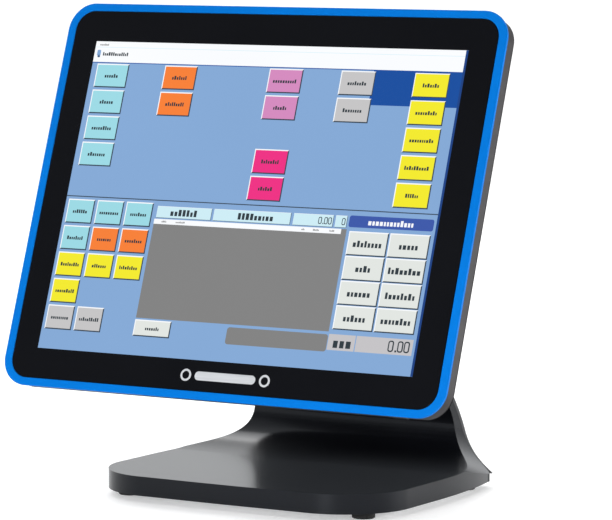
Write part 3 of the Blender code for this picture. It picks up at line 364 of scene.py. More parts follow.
def apply_modifiers(obj):
    bpy.context.view_layer.update()
    graph = bpy.context.evaluated_depsgraph_get()
    mesh = bpy.data.meshes.new_from_object(obj.evaluated_get(graph))
    obj.modifiers.clear()
    obj.data = mesh


def bevel(obj, width, segments, angle_deg):
    modifier = obj.modifiers.new("bevel", "BEVEL")
    modifier.width = width
    modifier.segments = segments
    modifier.limit_method = "ANGLE"
    modifier.angle_limit = math.radians(angle_deg)
    apply_modifiers(obj)


def smooth(obj):
    obj.data.shade_smooth()
    obj.data.set_sharp_from_angle(angle=math.radians(SHARP))
    weighted = obj.modifiers.new("weighted", "WEIGHTED_NORMAL")
    weighted.keep_sharp = True


def piece(name, mesh, place, look, body, slot, *nodes):
    return finish(placed(name, mesh, place), look, body, slot, *nodes)


def finish(obj, look, body, slot, *nodes):
    """Gives a piece its material and CAD body, and hides the CAD nodes it stands for. The slot is not used."""
    obj.data.materials.clear()
    obj.data.materials.append(look)
    smooth(obj)
    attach(obj, body)
    if nodes:
        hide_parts(*nodes)
    return obj


# Materials


def srgb(red, green, blue):
    """A colour given as it looks on a screen, 0 to 255, as linear light."""

    def linear(value):
        value /= 255
        return value / 12.92 if value <= 0.04045 else ((value + 0.055) / 1.055) ** 2.4

    return (linear(red), linear(green), linear(blue), 1.0)


NOISE_LOW = 0.3  # most of a noise lies between these
NOISE_HIGH = 0.7


class Look:
    """A Principled material and short ways to add nodes to it."""

    def __init__(self, name, roughness=0.5, metallic=0.0, specular=0.5):
        self.material = bpy.data.materials.new(name)
        self.material.use_nodes = True
        self.tree = self.material.node_tree
        self.shader = self.tree.nodes["Principled BSDF"]
        self.shader.inputs["Roughness"].default_value = roughness
        self.shader.inputs["Metallic"].default_value = metallic
        self.shader.inputs["Specular IOR Level"].default_value = specular
        self.place = self.tree.nodes.new("ShaderNodeTexCoord").outputs["Object"]

    def noise(self, scale, detail, stretch=None):
        node = self.tree.nodes.new("ShaderNodeTexNoise")
        node.inputs["Scale"].default_value = scale
        node.inputs["Detail"].default_value = detail
        self.tree.links.new(self.stretched(stretch), node.inputs["Vector"])
        return node.outputs["Fac"]

    def stretched(self, stretch):
        if stretch is None:
            return self.place
        node = self.tree.nodes.new("ShaderNodeMapping")
        node.inputs["Scale"].default_value = stretch
        self.tree.links.new(self.place, node.inputs["Vector"])
        return node.outputs["Vector"]

    def spread(self, source, low, high, start=NOISE_LOW, end=NOISE_HIGH):
        """Values from low to high, as the source goes from start to end."""
        node = self.tree.nodes.new("ShaderNodeMapRange")
        node.inputs["From Min"].default_value = start
        node.inputs["From Max"].default_value = end
        node.inputs["To Min"].default_value = low
        node.inputs["To Max"].default_value = high
        self.tree.links.new(source, node.inputs["Value"])
        return node.outputs["Result"]

    def colours(self, source, first, second):
        node = self.tree.nodes.new("ShaderNodeValToRGB")
        node.color_ramp.elements[0].position = NOISE_LOW
        node.color_ramp.elements[1].position = NOISE_HIGH
        node.color_ramp.elements[0].color = first
        node.color_ramp.elements[1].color = second
        self.tree.links.new(source, node.inputs["Fac"])
        self.tree.links.new(node.outputs["Color"], self.shader.inputs["Base Color"])

    def roughness(self, source, low, high):
        self.tree.links.new(self.spread(source, low, high), self.shader.inputs["Roughness"])

    def bump(self, source, strength, distance):
        node = self.tree.nodes.new("ShaderNodeBump")
        node.inputs["Strength"].default_value = strength
        node.inputs["Distance"].default_value = distance
        self.tree.links.new(source, node.inputs["Height"])
        self.tree.links.new(node.outputs["Normal"], self.shader.inputs["Normal"])


# Scales of the noises in the materials, in waves a metre, and how much each one changes the surface
SHADE_SCALE = 14.0
GLOSS_SCALE = 60.0
GLOSS_CHANGE = 0.04
GRAIN_STRENGTH = 0.35
DRAWN_SHADE_SCALE = 300.0
DRAWN_GLOSS_SCALE = 500.0
DRAWN_GLOSS_CHANGE = 0.07
DRAWN_GRAIN_SCALE = 900.0
DRAWN_GRAIN_STRENGTH = 0.2
DRAWN_GRAIN_DEPTH = 0.00005
SATIN_GLOSS_SCALE = 700.0
SATIN_GRAIN_SCALE = 2600.0
SATIN_GRAIN_STRENGTH = 0.03
SATIN_GRAIN_DEPTH = 0.00003
GLASS_SHADE_SCALE = 9.0
GLASS_GLOSS_SCALE = 35.0
SCREEN_SHADE_SCALE = 7.0
FLOOR_SHADE_SCALE = 0.6
PIXELS_PER_METRE = 3367.0  # 1024 pixels across the picture
COOL_TINT = (0.86, 0.92, 1.0, 1.0)
COOL_SHEEN = (0.82, 0.9, 1.0, 1.0)
DARK_SCREEN = (0.004, 0.004, 0.004, 1.0)


def painted(name, dark, light, roughness, grain, depth, specular=0.5, metallic=0.0):
    """A painted or moulded surface: slow changes of shade, a fine grain and uneven gloss."""
    look = Look(name, metallic=metallic, specular=specular)
    look.colours(look.noise(SHADE_SCALE, 4.0), dark, light)
    look.roughness(look.noise(GLOSS_SCALE, 5.0), roughness - GLOSS_CHANGE, roughness + GLOSS_CHANGE)
    look.bump(look.noise(grain, 2.0), GRAIN_STRENGTH, depth)
    return look.material


def metal(name, dark, light, roughness, stretch):
    """Bare metal with drawn marks along one direction."""
    look = Look(name, metallic=1.0)
    look.colours(look.noise(DRAWN_SHADE_SCALE, 3.0, stretch), dark, light)
    gloss = look.noise(DRAWN_GLOSS_SCALE, 2.0, stretch)
    look.roughness(gloss, roughness - DRAWN_GLOSS_CHANGE, roughness + DRAWN_GLOSS_CHANGE)
    look.bump(look.noise(DRAWN_GRAIN_SCALE, 2.0, stretch), DRAWN_GRAIN_STRENGTH, DRAWN_GRAIN_DEPTH)
    return look.material


def satin_look():
    """The stand's dark satin paint, with a soft sheen where it is seen at a low angle."""
    look = Look("stand_satin", specular=0.2)
    look.colours(look.noise(SHADE_SCALE, 4.0), srgb(10, 11, 14), srgb(13, 14, 18))
    look.roughness(look.noise(SATIN_GLOSS_SCALE, 3.0), 0.21, 0.23)
    look.bump(look.noise(SATIN_GRAIN_SCALE, 2.0), SATIN_GRAIN_STRENGTH, SATIN_GRAIN_DEPTH)
    look.shader.inputs["Specular Tint"].default_value = COOL_TINT
    look.shader.inputs["Sheen Weight"].default_value = 0.03
    look.shader.inputs["Sheen Roughness"].default_value = 0.3
    look.shader.inputs["Sheen Tint"].default_value = COOL_SHEEN
    return look.material


def glass_look():
    look = Look("printed_glass", specular=0.045)
    look.colours(look.noise(GLASS_SHADE_SCALE, 3.0), srgb(6, 7, 11), srgb(9, 10, 14))
    look.roughness(look.noise(GLASS_GLOSS_SCALE, 4.0), 0.04, 0.09)
    return look.material


def screen_look():
    """A lit display: the picture's own colours shine, with faint columns of pixels and slow changes."""
    look = Look("lit_screen", roughness=0.08, specular=0.1)
    look.shader.inputs["Base Color"].default_value = DARK_SCREEN
    nodes, links = look.tree.nodes, look.tree.links
    picture = nodes.new("ShaderNodeAttribute")
    picture.attribute_name = "picture"
    columns = nodes.new("ShaderNodeTexWave")
    columns.bands_direction = "X"
    columns.inputs["Scale"].default_value = PIXELS_PER_METRE / 2
    links.new(look.place, columns.inputs["Vector"])
    glow = look.spread(columns.outputs["Fac"], 0.985, 1.015, 0.0, 1.0)
    uneven = look.spread(look.noise(SCREEN_SHADE_SCALE, 2.0), 0.985, 1.01)
    shade = nodes.new("ShaderNodeMath")
    shade.operation = "MULTIPLY"
    links.new(glow, shade.inputs[0])
    links.new(uneven, shade.inputs[1])
    scaled = nodes.new("ShaderNodeVectorMath")
    scaled.operation = "SCALE"
    links.new(picture.outputs["Color"], scaled.inputs[0])
    links.new(shade.outputs["Value"], scaled.inputs["Scale"])
    links.new(scaled.outputs["Vector"], look.shader.inputs["Emission Color"])
    look.shader.inputs["Emission Strength"].default_value = 1.0
    return look.material


TRIM_BLUE = painted("trim_blue", srgb(0, 98, 180), srgb(0, 102, 186), 0.42, 1500, 0.00004, 0.03)
RIM = painted("rim_grey", srgb(40, 39, 41), srgb(46, 44, 46), 0.5, 1400, 0.00006, 0.12)
COVER = painted("cover_black", srgb(30, 31, 33), srgb(38, 38, 41), 0.55, 1600, 0.00014, 0.4)
STAND_METAL = satin_look()
CABLE_COVER = painted("cable_cover_satin", srgb(24, 25, 28), srgb(29, 30, 34), 0.42, 1700, 0.00006, 0.4)
BUTTON = painted("button_black", srgb(26, 26, 28), srgb(33, 33, 35), 0.4, 1500, 0.00005)
PORT = painted("port_plastic", srgb(28, 28, 30), srgb(36, 36, 38), 0.45, 1500, 0.00005)
CHIPS = painted("chips", srgb(22, 22, 24), srgb(33, 33, 35), 0.5, 1200, 0.00005)
FOAM = painted("foam", srgb(26, 26, 26), srgb(36, 36, 36), 0.9, 700, 0.0004)
RUBBER = painted("rubber", srgb(16, 16, 17), srgb(23, 23, 24), 0.75, 900, 0.0001, 0.3)
BOARD = painted("circuit_board", (0.008, 0.08, 0.03, 1), (0.012, 0.12, 0.05, 1), 0.4, 800, 0.00008)
LCD = painted("lcd", srgb(58, 64, 74), srgb(70, 76, 86), 0.35, 900, 0.00005)
IRON = painted("ballast_iron", srgb(60, 58, 56), srgb(92, 88, 84), 0.6, 500, 0.0003, metallic=0.7)
STEEL = metal("steel", srgb(165, 167, 170), srgb(196, 198, 201), 0.36, (1.0, 0.1, 0.1))
HINGE_STEEL = metal("hinge_steel", srgb(120, 122, 126), srgb(155, 158, 162), 0.34, (0.1, 1.0, 0.1))
ZINC = metal("screw_zinc", srgb(140, 142, 146), srgb(185, 187, 190), 0.32, (1.0, 1.0, 0.2))
ALUMINIUM = metal("aluminium", srgb(205, 206, 208), srgb(226, 227, 229), 0.35, (0.1, 1.0, 0.1))
MARK = metal("mark_silver", srgb(200, 202, 206), srgb(222, 224, 227), 0.35, (0.05, 1.0, 1.0))
BLACK_GLASS = glass_look()
LIT_SCREEN = screen_look()

CARRIED = {
    "foam": FOAM,
    "lcd": LCD,
    "steel": STEEL,
    "hinge_steel": HINGE_STEEL,
    "screw_zinc": ZINC,
    "circuit_board": BOARD,
    "aluminium": ALUMINIUM,
    "chips": CHIPS,
    "port_plastic": PORT,
    "cover_black": COVER,
    "button_black": BUTTON,
    "stand_metal": STAND_METAL,
    "cable_cover_black": CABLE_COVER,
    "ballast_iron": IRON,
    "rubber": RUBBER,
    "rim_grey": RIM,
    "blue_trim": TRIM_BLUE,
    "black_glass": BLACK_GLASS,
}


def dress_cad_nodes():
    for node in frame["nodes"].values():
        for held in node.material_slots:
            held.material = CARRIED[held.material.name.split(".")[0]]


# The picture on the screen: millimetres from its upper left corner, x to the right and y down

SCREEN_W = GLASS_W - 2 * BEZEL_SIDE
SCREEN_H = GLASS_H - 2 * BEZEL_END - PRINT_TOP - PRINT_BOTTOM
SCREEN_X = -0.0006
SCREEN_Y = (PRINT_BOTTOM - PRINT_TOP) / 2
MM = 0.001
NOTHING = 1e-9  # shorter than any edge
BACKGROUND_Z = -0.00045
PANEL_Z = -0.00036
BUTTON_Z = -0.00022
MARK_Z = -0.00012
INNER_Z = -0.00006
SCREEN_BACK = -0.0028
SINK = 0.00004
SKY = srgb(131, 168, 213)
NAVY = srgb(0, 74, 158)
WHITE = srgb(249, 251, 254)
CYAN = srgb(155, 217, 228)
ORANGE = srgb(247, 126, 48)
PINK = srgb(212, 137, 190)
MAGENTA = srgb(238, 40, 130)
SILVER = srgb(197, 196, 197)
YELLOW = srgb(243, 234, 36)
SLATE = srgb(128, 128, 128)
PALE = srgb(205, 236, 245)
PILL = srgb(55, 85, 168)
PAPER = srgb(225, 229, 225)
TOTAL = srgb(196, 194, 197)
INK = srgb(40, 52, 60)
SHADOW = srgb(52, 66, 80)
RULE = srgb(52, 84, 122)
ROW_PITCH = 19.38
ROW_H = 17.6
BUTTON_EDGE = 0.85
CELL_EDGE = 0.3
MARGIN = 1.8  # strip of desktop beside the program's window
SCREEN_GAP = 0.02
DESKTOP_GAP = 0.1
DESKTOP = srgb(14, 62, 132)

# Blocks that stand for letters, and noughts, as shares of a line's height
LETTER_GAP = 0.2
LETTER_WIDTHS = (0.3, 0.5)
LETTER_HEIGHTS = (0.62, 0.62, 0.9)
NOUGHT_W = 0.55
NOUGHT_PEN = 0.12
POINT_ROOM = 0.3
POINT_LEFT = 0.22
NOUGHT_PITCH = 1.15  # in widths of a nought, as the next two
NOUGHT_R = 0.4
NOUGHT_HOLE_R = 0.35
POINT_W = 1.4  # in widths of the pen

# Places on the screen: rectangles as (x, y, width, height), and lines as (x, y, letters, height)
ACROSS = SCREEN_W / MM - MARGIN
TITLE = (0, 0, ACROSS, 15.4)
TITLE_RULE = (0, 15.4, ACROSS, 0.6)
TITLE_LINE = (0, 4.2, ACROSS, 0.25)
TITLE_NOTE = (7.5, 2.4, 9, 1.5)
TITLE_SIGN = (2.4, 6.4, 3.0, 4.4)
TITLE_SIGN_R = 0.9
TITLE_SIGN_FOOT = (3.2, 9.6, 2.0, 2.4)
TITLE_SIGN_FOOT_R = 0.6
TITLE_WORDS = (18.4, 9.2, 13, 2.9)
BAND = (233.5, 16.0, ACROSS - 233.5, 24.6)
GROUPS_X, GROUPS_Y = 4.5, 16.6
GROUP_PITCH = 29.05
GROUP_W = 27.6
GROUP_LETTER = 3.1
GROUP_LETTERS = (6, 10)
GROUPS = ((0, (CYAN,) * 4), (2, (ORANGE,) * 2), (5, (PINK, PINK, None, MAGENTA, MAGENTA)))
GROUPS += ((7, (SILVER,) * 2), (9, (YELLOW,) * 5))
DIVIDER = (0, 114.6, ACROSS, 0.7)
SHORTCUTS_X, SHORTCUTS_Y = 2.4, 117.1
SHORTCUT_PITCH = 24.85
SHORTCUT_W = 22.7
SHORTCUT_LETTER = 2.9
SHORTCUT_LETTERS = (7, 10)
SHORTCUTS = ((CYAN,) * 3, (CYAN, ORANGE, ORANGE), (YELLOW,) * 3, (YELLOW,), (SILVER,) * 2)
CELLS = ((78.5, 124.0), (125.6, 188.4), (190.4, 222.4), (223.9, 233.2))  # left and right
CELLS_Y, CELLS_H = 119.0, 8.6
CELL_WORDS = ((101.0, 123.2, 7, 5.2), (160.0, 123.2, 9, 5.2))
CELL_SUM = (221.6, 120.8, 3, 5.0)
CELL_COUNT = (232.4, 120.8, 1, 5.0)
LIST = (77.6, 128.4, 156.4, 71.4)
LIST_HEAD = (77.6, 128.4, 152.2, 3.6)
LIST_WORDS = ((86.0, 5), (99.5, 9), (199.7, 3), (210.0, 6), (222.6, 5))  # x and letters
LIST_WORDS_Y, LIST_LETTER = 130.1, 1.4
LIST_KEY = (77.4, 200.9, 30.4, 11.9)
LIST_KEY_LETTERS, LIST_KEY_LETTER = 7, 2.8
LIST_FIELD = (153.7, 201.8, 80.5, 12.0)
LIST_FIELD_R = 2.0
HEADING = (234.8, 118.6, 65.6, 8.2)
HEADING_R = 1.6
HEADING_WORDS = (267.5, 122.6, 13, 4.6)
KEYS_X, KEYS_Y = 236.4, 129.5
KEY_PITCH_X, KEY_PITCH_Y = 32.1, 17.25
KEY_W, KEY_H = 31.2, 16.9
KEY_LETTERS = (8, 5, 4, 8, 6, 8, 6, 8)
KEY_LETTER = 5.0
DUE_NAME = (234.8, 201.4, 20.9, 11.0)
DUE_FIELD = (256.5, 201.4, 43.8, 11.0)
DUE_WORD = (246.0, 206.8, 3, 8.0)
DUE_SUM = (298.8, 203.0, 3, 7.8)

letters = random.Random(7)


class Picture:
    """The screen's picture as one mesh of thin tiles, with a colour on each face."""

    def __init__(self):
        self.shape = bmesh.new()
        self.layer = self.shape.faces.layers.float_color.new("picture")

    def tile(self, x, y, width, height, top, base, colour, edge=0.0, radius=0.0):
        """A tile from base up to top. A sloping edge is lit at the upper left and dark at the lower right."""
        middle_x = (x + width / 2) * MM - SCREEN_W / 2 + SCREEN_X
        middle_y = SCREEN_H / 2 - (y + height / 2) * MM + SCREEN_Y
        at = (middle_x, middle_y)
        outer = self.outline(width * MM, height * MM, radius * MM, at)
        inner = self.outline((width - 2 * edge) * MM, (height - 2 * edge) * MM, radius * MM, at)
        low = [self.shape.verts.new((px, py, base)) for px, py in outer]
        high = [self.shape.verts.new((px, py, top)) for px, py in inner]
        self.face(high, colour)
        self.face(low[::-1], colour)
        for i, corner in enumerate(low):
            j = (i + 1) % len(low)
            lit = any(outer[j][k] - outer[i][k] < -NOTHING for k in (0, 1))
            side = (WHITE if lit else SHADOW) if edge else colour
            self.face([corner, low[j], high[j], high[i]], side)

    def outline(self, width, height, radius, at):
        if radius:
            return rounded_rect(width, height, radius, *at, steps=TINY_STEPS)
        return rect(width, height, *at)

    def face(self, corners, colour):
        self.shape.faces.new(corners)[self.layer] = colour

    def label(self, x, y, count, size, colour=INK):
        """A line of plain blocks in place of a word, centred at (x, y)."""
        widths = [size * letters.uniform(*LETTER_WIDTHS) for _ in range(count)]
        start = x - (sum(widths) + LETTER_GAP * size * (count - 1)) / 2
        for width in widths:
            tall = size * letters.choice(LETTER_HEIGHTS)
            self.tile(start, y + size / 2 - tall, width, tall, MARK_Z, BUTTON_Z - SINK, colour)
            start += width + LETTER_GAP * size

    def zeros(self, right, y, count, size, field, point=True):
        """An amount of nothing, drawn from the right: noughts with a point before the last two."""
        width, pen = size * NOUGHT_W, size * NOUGHT_PEN
        hole, dot = width - 2 * pen, POINT_W * pen
        for i in range(count):
            left = right - (i + 1) * width * NOUGHT_PITCH - (POINT_ROOM * size if point and i > 1 else 0.0)
            self.tile(left, y, width, size, MARK_Z, BUTTON_Z - SINK, INK, radius=width * NOUGHT_R)
            inside = (left + pen, y + pen, hole, size - 2 * pen)
            self.tile(*inside, INNER_Z, MARK_Z - SINK, field, radius=hole * NOUGHT_HOLE_R)
        if point:
            left = right - 2 * width * NOUGHT_PITCH - POINT_LEFT * size
            self.tile(left, y + size - dot, dot, dot, MARK_Z, BUTTON_Z - SINK, INK)

    def raised(self, x, y, width, height, colour, edge=0.0, radius=0.0):
        self.tile(x, y, width, height, BUTTON_Z, PANEL_Z - SINK, colour, edge, radius)

    def button(self, x, y, width, height, colour, count, size):
        self.raised(x, y, width, height, colour, BUTTON_EDGE)
        self.label(x + width / 2, y + height / 2, count, size)

    def panel(self, x, y, width, height, colour, radius=0.0):
        self.tile(x, y, width, height, PANEL_Z, BACKGROUND_Z - SINK, colour, radius=radius)


def draw_title(picture):
    picture.panel(*TITLE, WHITE)
    picture.panel(*TITLE_RULE, NAVY)
    picture.raised(*TITLE_LINE, PALE)
    picture.label(*TITLE_NOTE, SLATE)
    picture.raised(*TITLE_SIGN, SKY, radius=TITLE_SIGN_R)
    picture.raised(*TITLE_SIGN_FOOT, RULE, radius=TITLE_SIGN_FOOT_R)
    picture.label(*TITLE_WORDS)


def draw_groups(picture):
    """The upper buttons: columns of one colour on a grid of ten."""
    picture.panel(*BAND, NAVY)
    for column, colours in GROUPS:
        for row, colour in enumerate(colours):
            if colour:
                place = GROUPS_X + GROUP_PITCH * column, GROUPS_Y + ROW_PITCH * row
                count = letters.randint(*GROUP_LETTERS)
                picture.button(*place, GROUP_W, ROW_H, colour, count, GROUP_LETTER)
    picture.panel(*DIVIDER, SHADOW)


def draw_shortcuts(picture):
    """The lower left buttons, in three columns."""
    for row, colours in enumerate(SHORTCUTS):
        for column, colour in enumerate(colours):
            place = SHORTCUTS_X + SHORTCUT_PITCH * column, SHORTCUTS_Y + ROW_PITCH * row
            count = letters.randint(*SHORTCUT_LETTERS)
            picture.button(*place, SHORTCUT_W, ROW_H, colour, count, SHORTCUT_LETTER)


def draw_order(picture):
    """The order list with its heading cells, and the field and key under it."""
    for left, right in CELLS:
        cell = (left, CELLS_Y, right - left, CELLS_H)
        picture.tile(*cell, BUTTON_Z, BACKGROUND_Z - SINK, PALE, CELL_EDGE)
    for words in CELL_WORDS:
        picture.label(*words)
    picture.zeros(*CELL_SUM, PALE)
    picture.zeros(*CELL_COUNT, PALE, point=False)
    picture.panel(*LIST, SLATE)
    picture.raised(*LIST_HEAD, WHITE)
    for x, count in LIST_WORDS:
        picture.label(x, LIST_WORDS_Y, count, LIST_LETTER, SLATE)
    picture.button(*LIST_KEY, PAPER, LIST_KEY_LETTERS, LIST_KEY_LETTER)
    picture.panel(*LIST_FIELD, SLATE, LIST_FIELD_R)


def draw_actions(picture):
    """The right-hand panel: a heading, eight keys and the amount due."""
    picture.panel(*HEADING, PILL, HEADING_R)
    picture.label(*HEADING_WORDS, WHITE)
    for i, count in enumerate(KEY_LETTERS):
        place = KEYS_X + KEY_PITCH_X * (i % 2), KEYS_Y + KEY_PITCH_Y * (i // 2)
        picture.button(*place, KEY_W, KEY_H, PAPER, count, KEY_LETTER)
    picture.panel(*DUE_NAME, TOTAL)
    picture.panel(*DUE_FIELD, TOTAL)
    picture.label(*DUE_WORD)
    picture.zeros(*DUE_SUM, TOTAL)


def build_screen():
    picture = Picture()
    across, down = SCREEN_W / MM, SCREEN_H / MM
    whole = (SCREEN_GAP, SCREEN_GAP, across - 2 * SCREEN_GAP, down - 2 * SCREEN_GAP)
    picture.tile(*whole, BACKGROUND_Z, SCREEN_BACK, SKY)
    picture.panel(ACROSS, DESKTOP_GAP, MARGIN - DESKTOP_GAP, down - 2 * DESKTOP_GAP, DESKTOP)
    draw_title(picture)
    draw_groups(picture)
    draw_shortcuts(picture)
    draw_order(picture)
    draw_actions(picture)
    screen = placed("screen_picture", as_mesh(picture.shape, "screen_picture"), HEAD)
    screen.data.materials.append(LIT_SCREEN)
    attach(screen, "head")


# The head


def build_front():
    rim = rounded_rect(GLASS_W, GLASS_H, GLASS_R)
    opening = rect(SCREEN_W, SCREEN_H, SCREEN_X, SCREEN_Y)
    border = slab([rim, opening], 0.0, -GLASS_T, GLASS_EDGE)
    piece("glass_border", border, HEAD, BLACK_GLASS, "head", "black_glass", "touch_glass")

    low, high = box_in(HEAD, "display_trim")
    rim = rounded_rect(high.x - low.x, high.y - low.y, TRIM_R)
    seat = rounded_rect(GLASS_W + 2 * GAP, GLASS_H + 2 * GAP, GLASS_R + GAP)
    trim = slab([rim, seat], high.z, low.z, TRIM_EDGE)
    piece("colour_trim", trim, HEAD, TRIM_BLUE, "head", "blue_trim", "display_trim")


def build_mark():
    """A plain silver emblem under the screen: a bar between two small rings."""
    below = BEZEL_END / 2 - GLASS_H / 2
    parts = {"mark_bar": [rounded_rect(MARK_BAR_W, MARK_BAR_H, MARK_BAR_R, MARK_X, below, SMALL_STEPS)]}
    for name, side in (("mark_ring_left", -1), ("mark_ring_right", 1)):
        x = MARK_X + side * MARK_RING_X
        parts[name] = [circle(x, below, r, MARK_RING_STEPS) for r in (MARK_RING_R, MARK_RING_HOLE_R)]
    for name, outlines in parts.items():
        mesh = slab(outlines, MARK_FRONT, MARK_BACK, MARK_EDGE)
        piece(name, mesh, HEAD, MARK, "head", "black_glass")


def build_mid_frame():
    """The grey rim behind the glass, hollowed for the glass, the picture, the inside and the button."""
    low, high = box_in(HEAD, "mid_frame")
    width, height = high.x - low.x, high.y - low.y
    radius = TRIM_R - FRAME_INSET
    mesh = slab([rounded_rect(width, height, radius)], high.z, low.z, RIM_EDGE)
    frame_piece = piece("housing_rim", mesh, HEAD, RIM, "head", "rim_grey", "mid_frame")
    seat = rounded_rect(GLASS_W + 2 * GAP, GLASS_H + 2 * GAP, GLASS_R + GAP)
    cut(frame_piece, cutter(slab([seat], CLEAR, -WEB_FRONT), HEAD))
    window = rect(SCREEN_W + WINDOW_MORE, SCREEN_H + WINDOW_MORE, SCREEN_X, SCREEN_Y)
    cut(frame_piece, cutter(slab([window], CLEAR, -THROUGH), HEAD))
    cavity = rounded_rect(width - 2 * FRAME_WALL, height - 2 * FRAME_WALL, radius - FRAME_WALL)
    cut(frame_piece, cutter(slab([cavity], -WEB_BACK, -THROUGH), HEAD))
    button_low, button_high = box_in(HEAD, "power_button")
    size = button_high - button_low + Vector(BUTTON_ROOM)
    cut(frame_piece, cutter(boxes((size, (button_low + button_high) / 2)), HEAD))
    smooth(frame_piece)


def build_rear_cover():
    """The tapered rear shell, hollow, with its vents, its screw holes and the bay for the sockets."""
    low, high = box_in(HEAD, "rear_cover")
    width, height = high.x - low.x, high.y - low.y
    radius = TRIM_R - FRAME_INSET
    shell = placed("rear_shell", tapered(width, height, radius, high.z, low.z), HEAD)
    bevel(shell, SHOULDER, SHOULDER_STEPS, SHOULDER_ANGLE)
    depth = high.z - low.z
    run_side = COVER_WALL * math.hypot(TAPER_SIDE, depth) / depth
    run_end = COVER_WALL * math.hypot(TAPER_END, depth) / depth
    hollow = tapered(
        width - 2 * run_side,
        height - 2 * run_end,
        radius - COVER_WALL,
        high.z + COVER_WALL,
        low.z + COVER_WALL,
    )
    cut(shell, cutter(hollow, HEAD))
    cut(shell, cutter(bay_cutter(height), HEAD))
    cut(shell, cutter(vent_cutter(low.z), HEAD))
    places = [screw_axis(n) for n in frame["nodes"] if n.startswith(("cover_screw", "hinge_screw"))]
    holes = cylinders(SCREW_HOLE_R, 8 * COVER_WALL, [(p.x, p.y, low.z) for p in places])
    cut(shell, cutter(holes, HEAD))
    finish(shell, COVER, "head", "cover_black", "rear_cover")


def tapered(width, height, radius, front, back):
    """A slab that narrows towards its back."""
    mesh = slab([rounded_rect(width, height, radius)], front, back)
    across, upwards = 1 - 2 * TAPER_SIDE / width, 1 - 2 * TAPER_END / height
    for vertex in mesh.vertices:
        share = (front - vertex.co.z) / (front - back)
        vertex.co.x *= 1 + (across - 1) * share
        vertex.co.y *= 1 + (upwards - 1) * share
    return mesh


def bay_cutter(height):
    """The recess that the sockets look down into, open at the bottom and the back."""
    bracket_low, bracket_high = box_in(HEAD, "port_bracket")
    width = bracket_high.x - bracket_low.x + 2 * GAP
    low, high = -height / 2 - CLEAR, bracket_high.y + GAP
    front = bracket_high.z + GAP
    return boxes(((width, high - low, 2 * THROUGH), (0.0, (high + low) / 2, front - THROUGH)))


def vent_cutter(back):
    shape = bmesh.new()
    for side in (-1, 1):
        for i in range(VENT_COUNT):
            x = side * (VENT_IN + VENT_L / 2)
            y = VENT_UP + (i - (VENT_COUNT - 1) / 2) * VENT_PITCH
            outline = rounded_rect(VENT_L, VENT_W, VENT_W * VENT_ROUND, x, y, SMALL_STEPS)
            shape.from_mesh(slab([outline], back + CLEAR, back - CLEAR))
    return as_mesh(shape, "vents")


def screw_axis(node):
    low, high = box_in(HEAD, node)
    return (low + high) / 2


# The screws


def cross_outline():
    half, arm = SCREW_RECESS_W / 2, SCREW_RECESS_L / 2
    upper = [(arm, half), (half, half), (half, arm), (-half, arm), (-half, half), (-arm, half)]
    return upper + [(-x, -y) for x, y in upper]


def screw_profile(length):
    """A screw's outline from the top of its domed head, as (radius, height) points. Zero is under the head."""
    top, side = (0.0, SCREW_HEAD_H), (SCREW_HEAD_R, SCREW_SIDE_Z)
    handles = (SCREW_FLAT * SCREW_HEAD_R, SCREW_HEAD_H), (SCREW_HEAD_R, SCREW_DOME_Z)
    dome = bezier(top, *handles, side, TINY_STEPS)
    return [*dome, (SCREW_HEAD_R, 0.0), (SCREW_R, 0.0), (SCREW_R, -length), (0.0, -length)]


def build_screws():
    """The screws that show, with domed heads and cross recesses."""
    seen = ("cover_screw", "hinge_screw", "bottom_screw")
    for node in sorted(n for n in frame["nodes"] if n.startswith(seen)):
        under = node.startswith("bottom")
        low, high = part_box(node) if under else box_in(HEAD, node)
        seat = Matrix.Translation(((low.x + high.x) / 2, (low.y + high.y) / 2, low.z + SCREW_HEAD_H))
        place = (Matrix() if under else HEAD) @ seat @ TURNED_OVER
        profile = screw_profile(high.z - low.z - SCREW_HEAD_H)
        screw = placed("fine_" + node, turned_mesh(profile, SCREW_STEPS), place)
        cut(screw, cutter(slab([cross_outline()], CLEAR, SCREW_HEAD_H - SCREW_RECESS_DEEP), place))
        finish(screw, ZINC, "stand" if under else "head", "screw_zinc", node)


# The stand


def neck_end(offset):
    """A point of the neck's end face, offset towards the rear from its middle line, as (y, z)."""
    y = HINGE_Y + NECK_END_GAP * math.sin(LEAN) + offset * math.cos(LEAN)
    z = HINGE_Z - NECK_END_GAP * math.cos(LEAN) + offset * math.sin(LEAN)
    return (y, z)


def back_along(point, run):
    return (point[0] + run * math.sin(LEAN), point[1] - run * math.cos(LEAN))


def front_curve(inset):
    """The base's top and the neck's front as (y, z) points, set into the metal by inset."""
    top = BASE_TOP - inset
    bend_y = NECK_FRONT_Y + inset
    bend_z = BASE_TOP + BEND_RISE
    sweep = bezier(
        (NECK_FRONT_Y - SWEEP_RUN, top),
        (NECK_FRONT_Y - SWEEP_HANDLE_Y, top + SWEEP_HANDLE_Z),
        (bend_y, bend_z - BEND_HANDLE_BELOW - inset / 2),
        (bend_y, bend_z),
    )
    end = neck_end(-NECK_T / 2 + inset)
    above = (bend_y, bend_z + BEND_HANDLE_ABOVE)
    rise = bezier((bend_y, bend_z), above, back_along(end, FRONT_END_HANDLE), end)
    return sweep + rise[1:]


def rear_curve(inset):
    """The neck's rear as (y, z) points from the foot up, set in by inset."""
    rear_y = COVER_REAR_Y - inset
    low = BASE_TOP + REAR_RISE
    end = neck_end(NECK_T / 2 - inset)
    above = (rear_y, low + REAR_FOOT_HANDLE - inset / 2)
    return bezier((rear_y, low), above, back_along(end, REAR_END_HANDLE), end)


def side_prism(points):
    mesh = slab([points], BLOCK_HALF_X, -BLOCK_HALF_X)
    mesh.transform(SIDEWAYS)
    return mesh


def tipped_height(y, z):
    return z * math.cos(FLARE) + y * math.sin(FLARE)


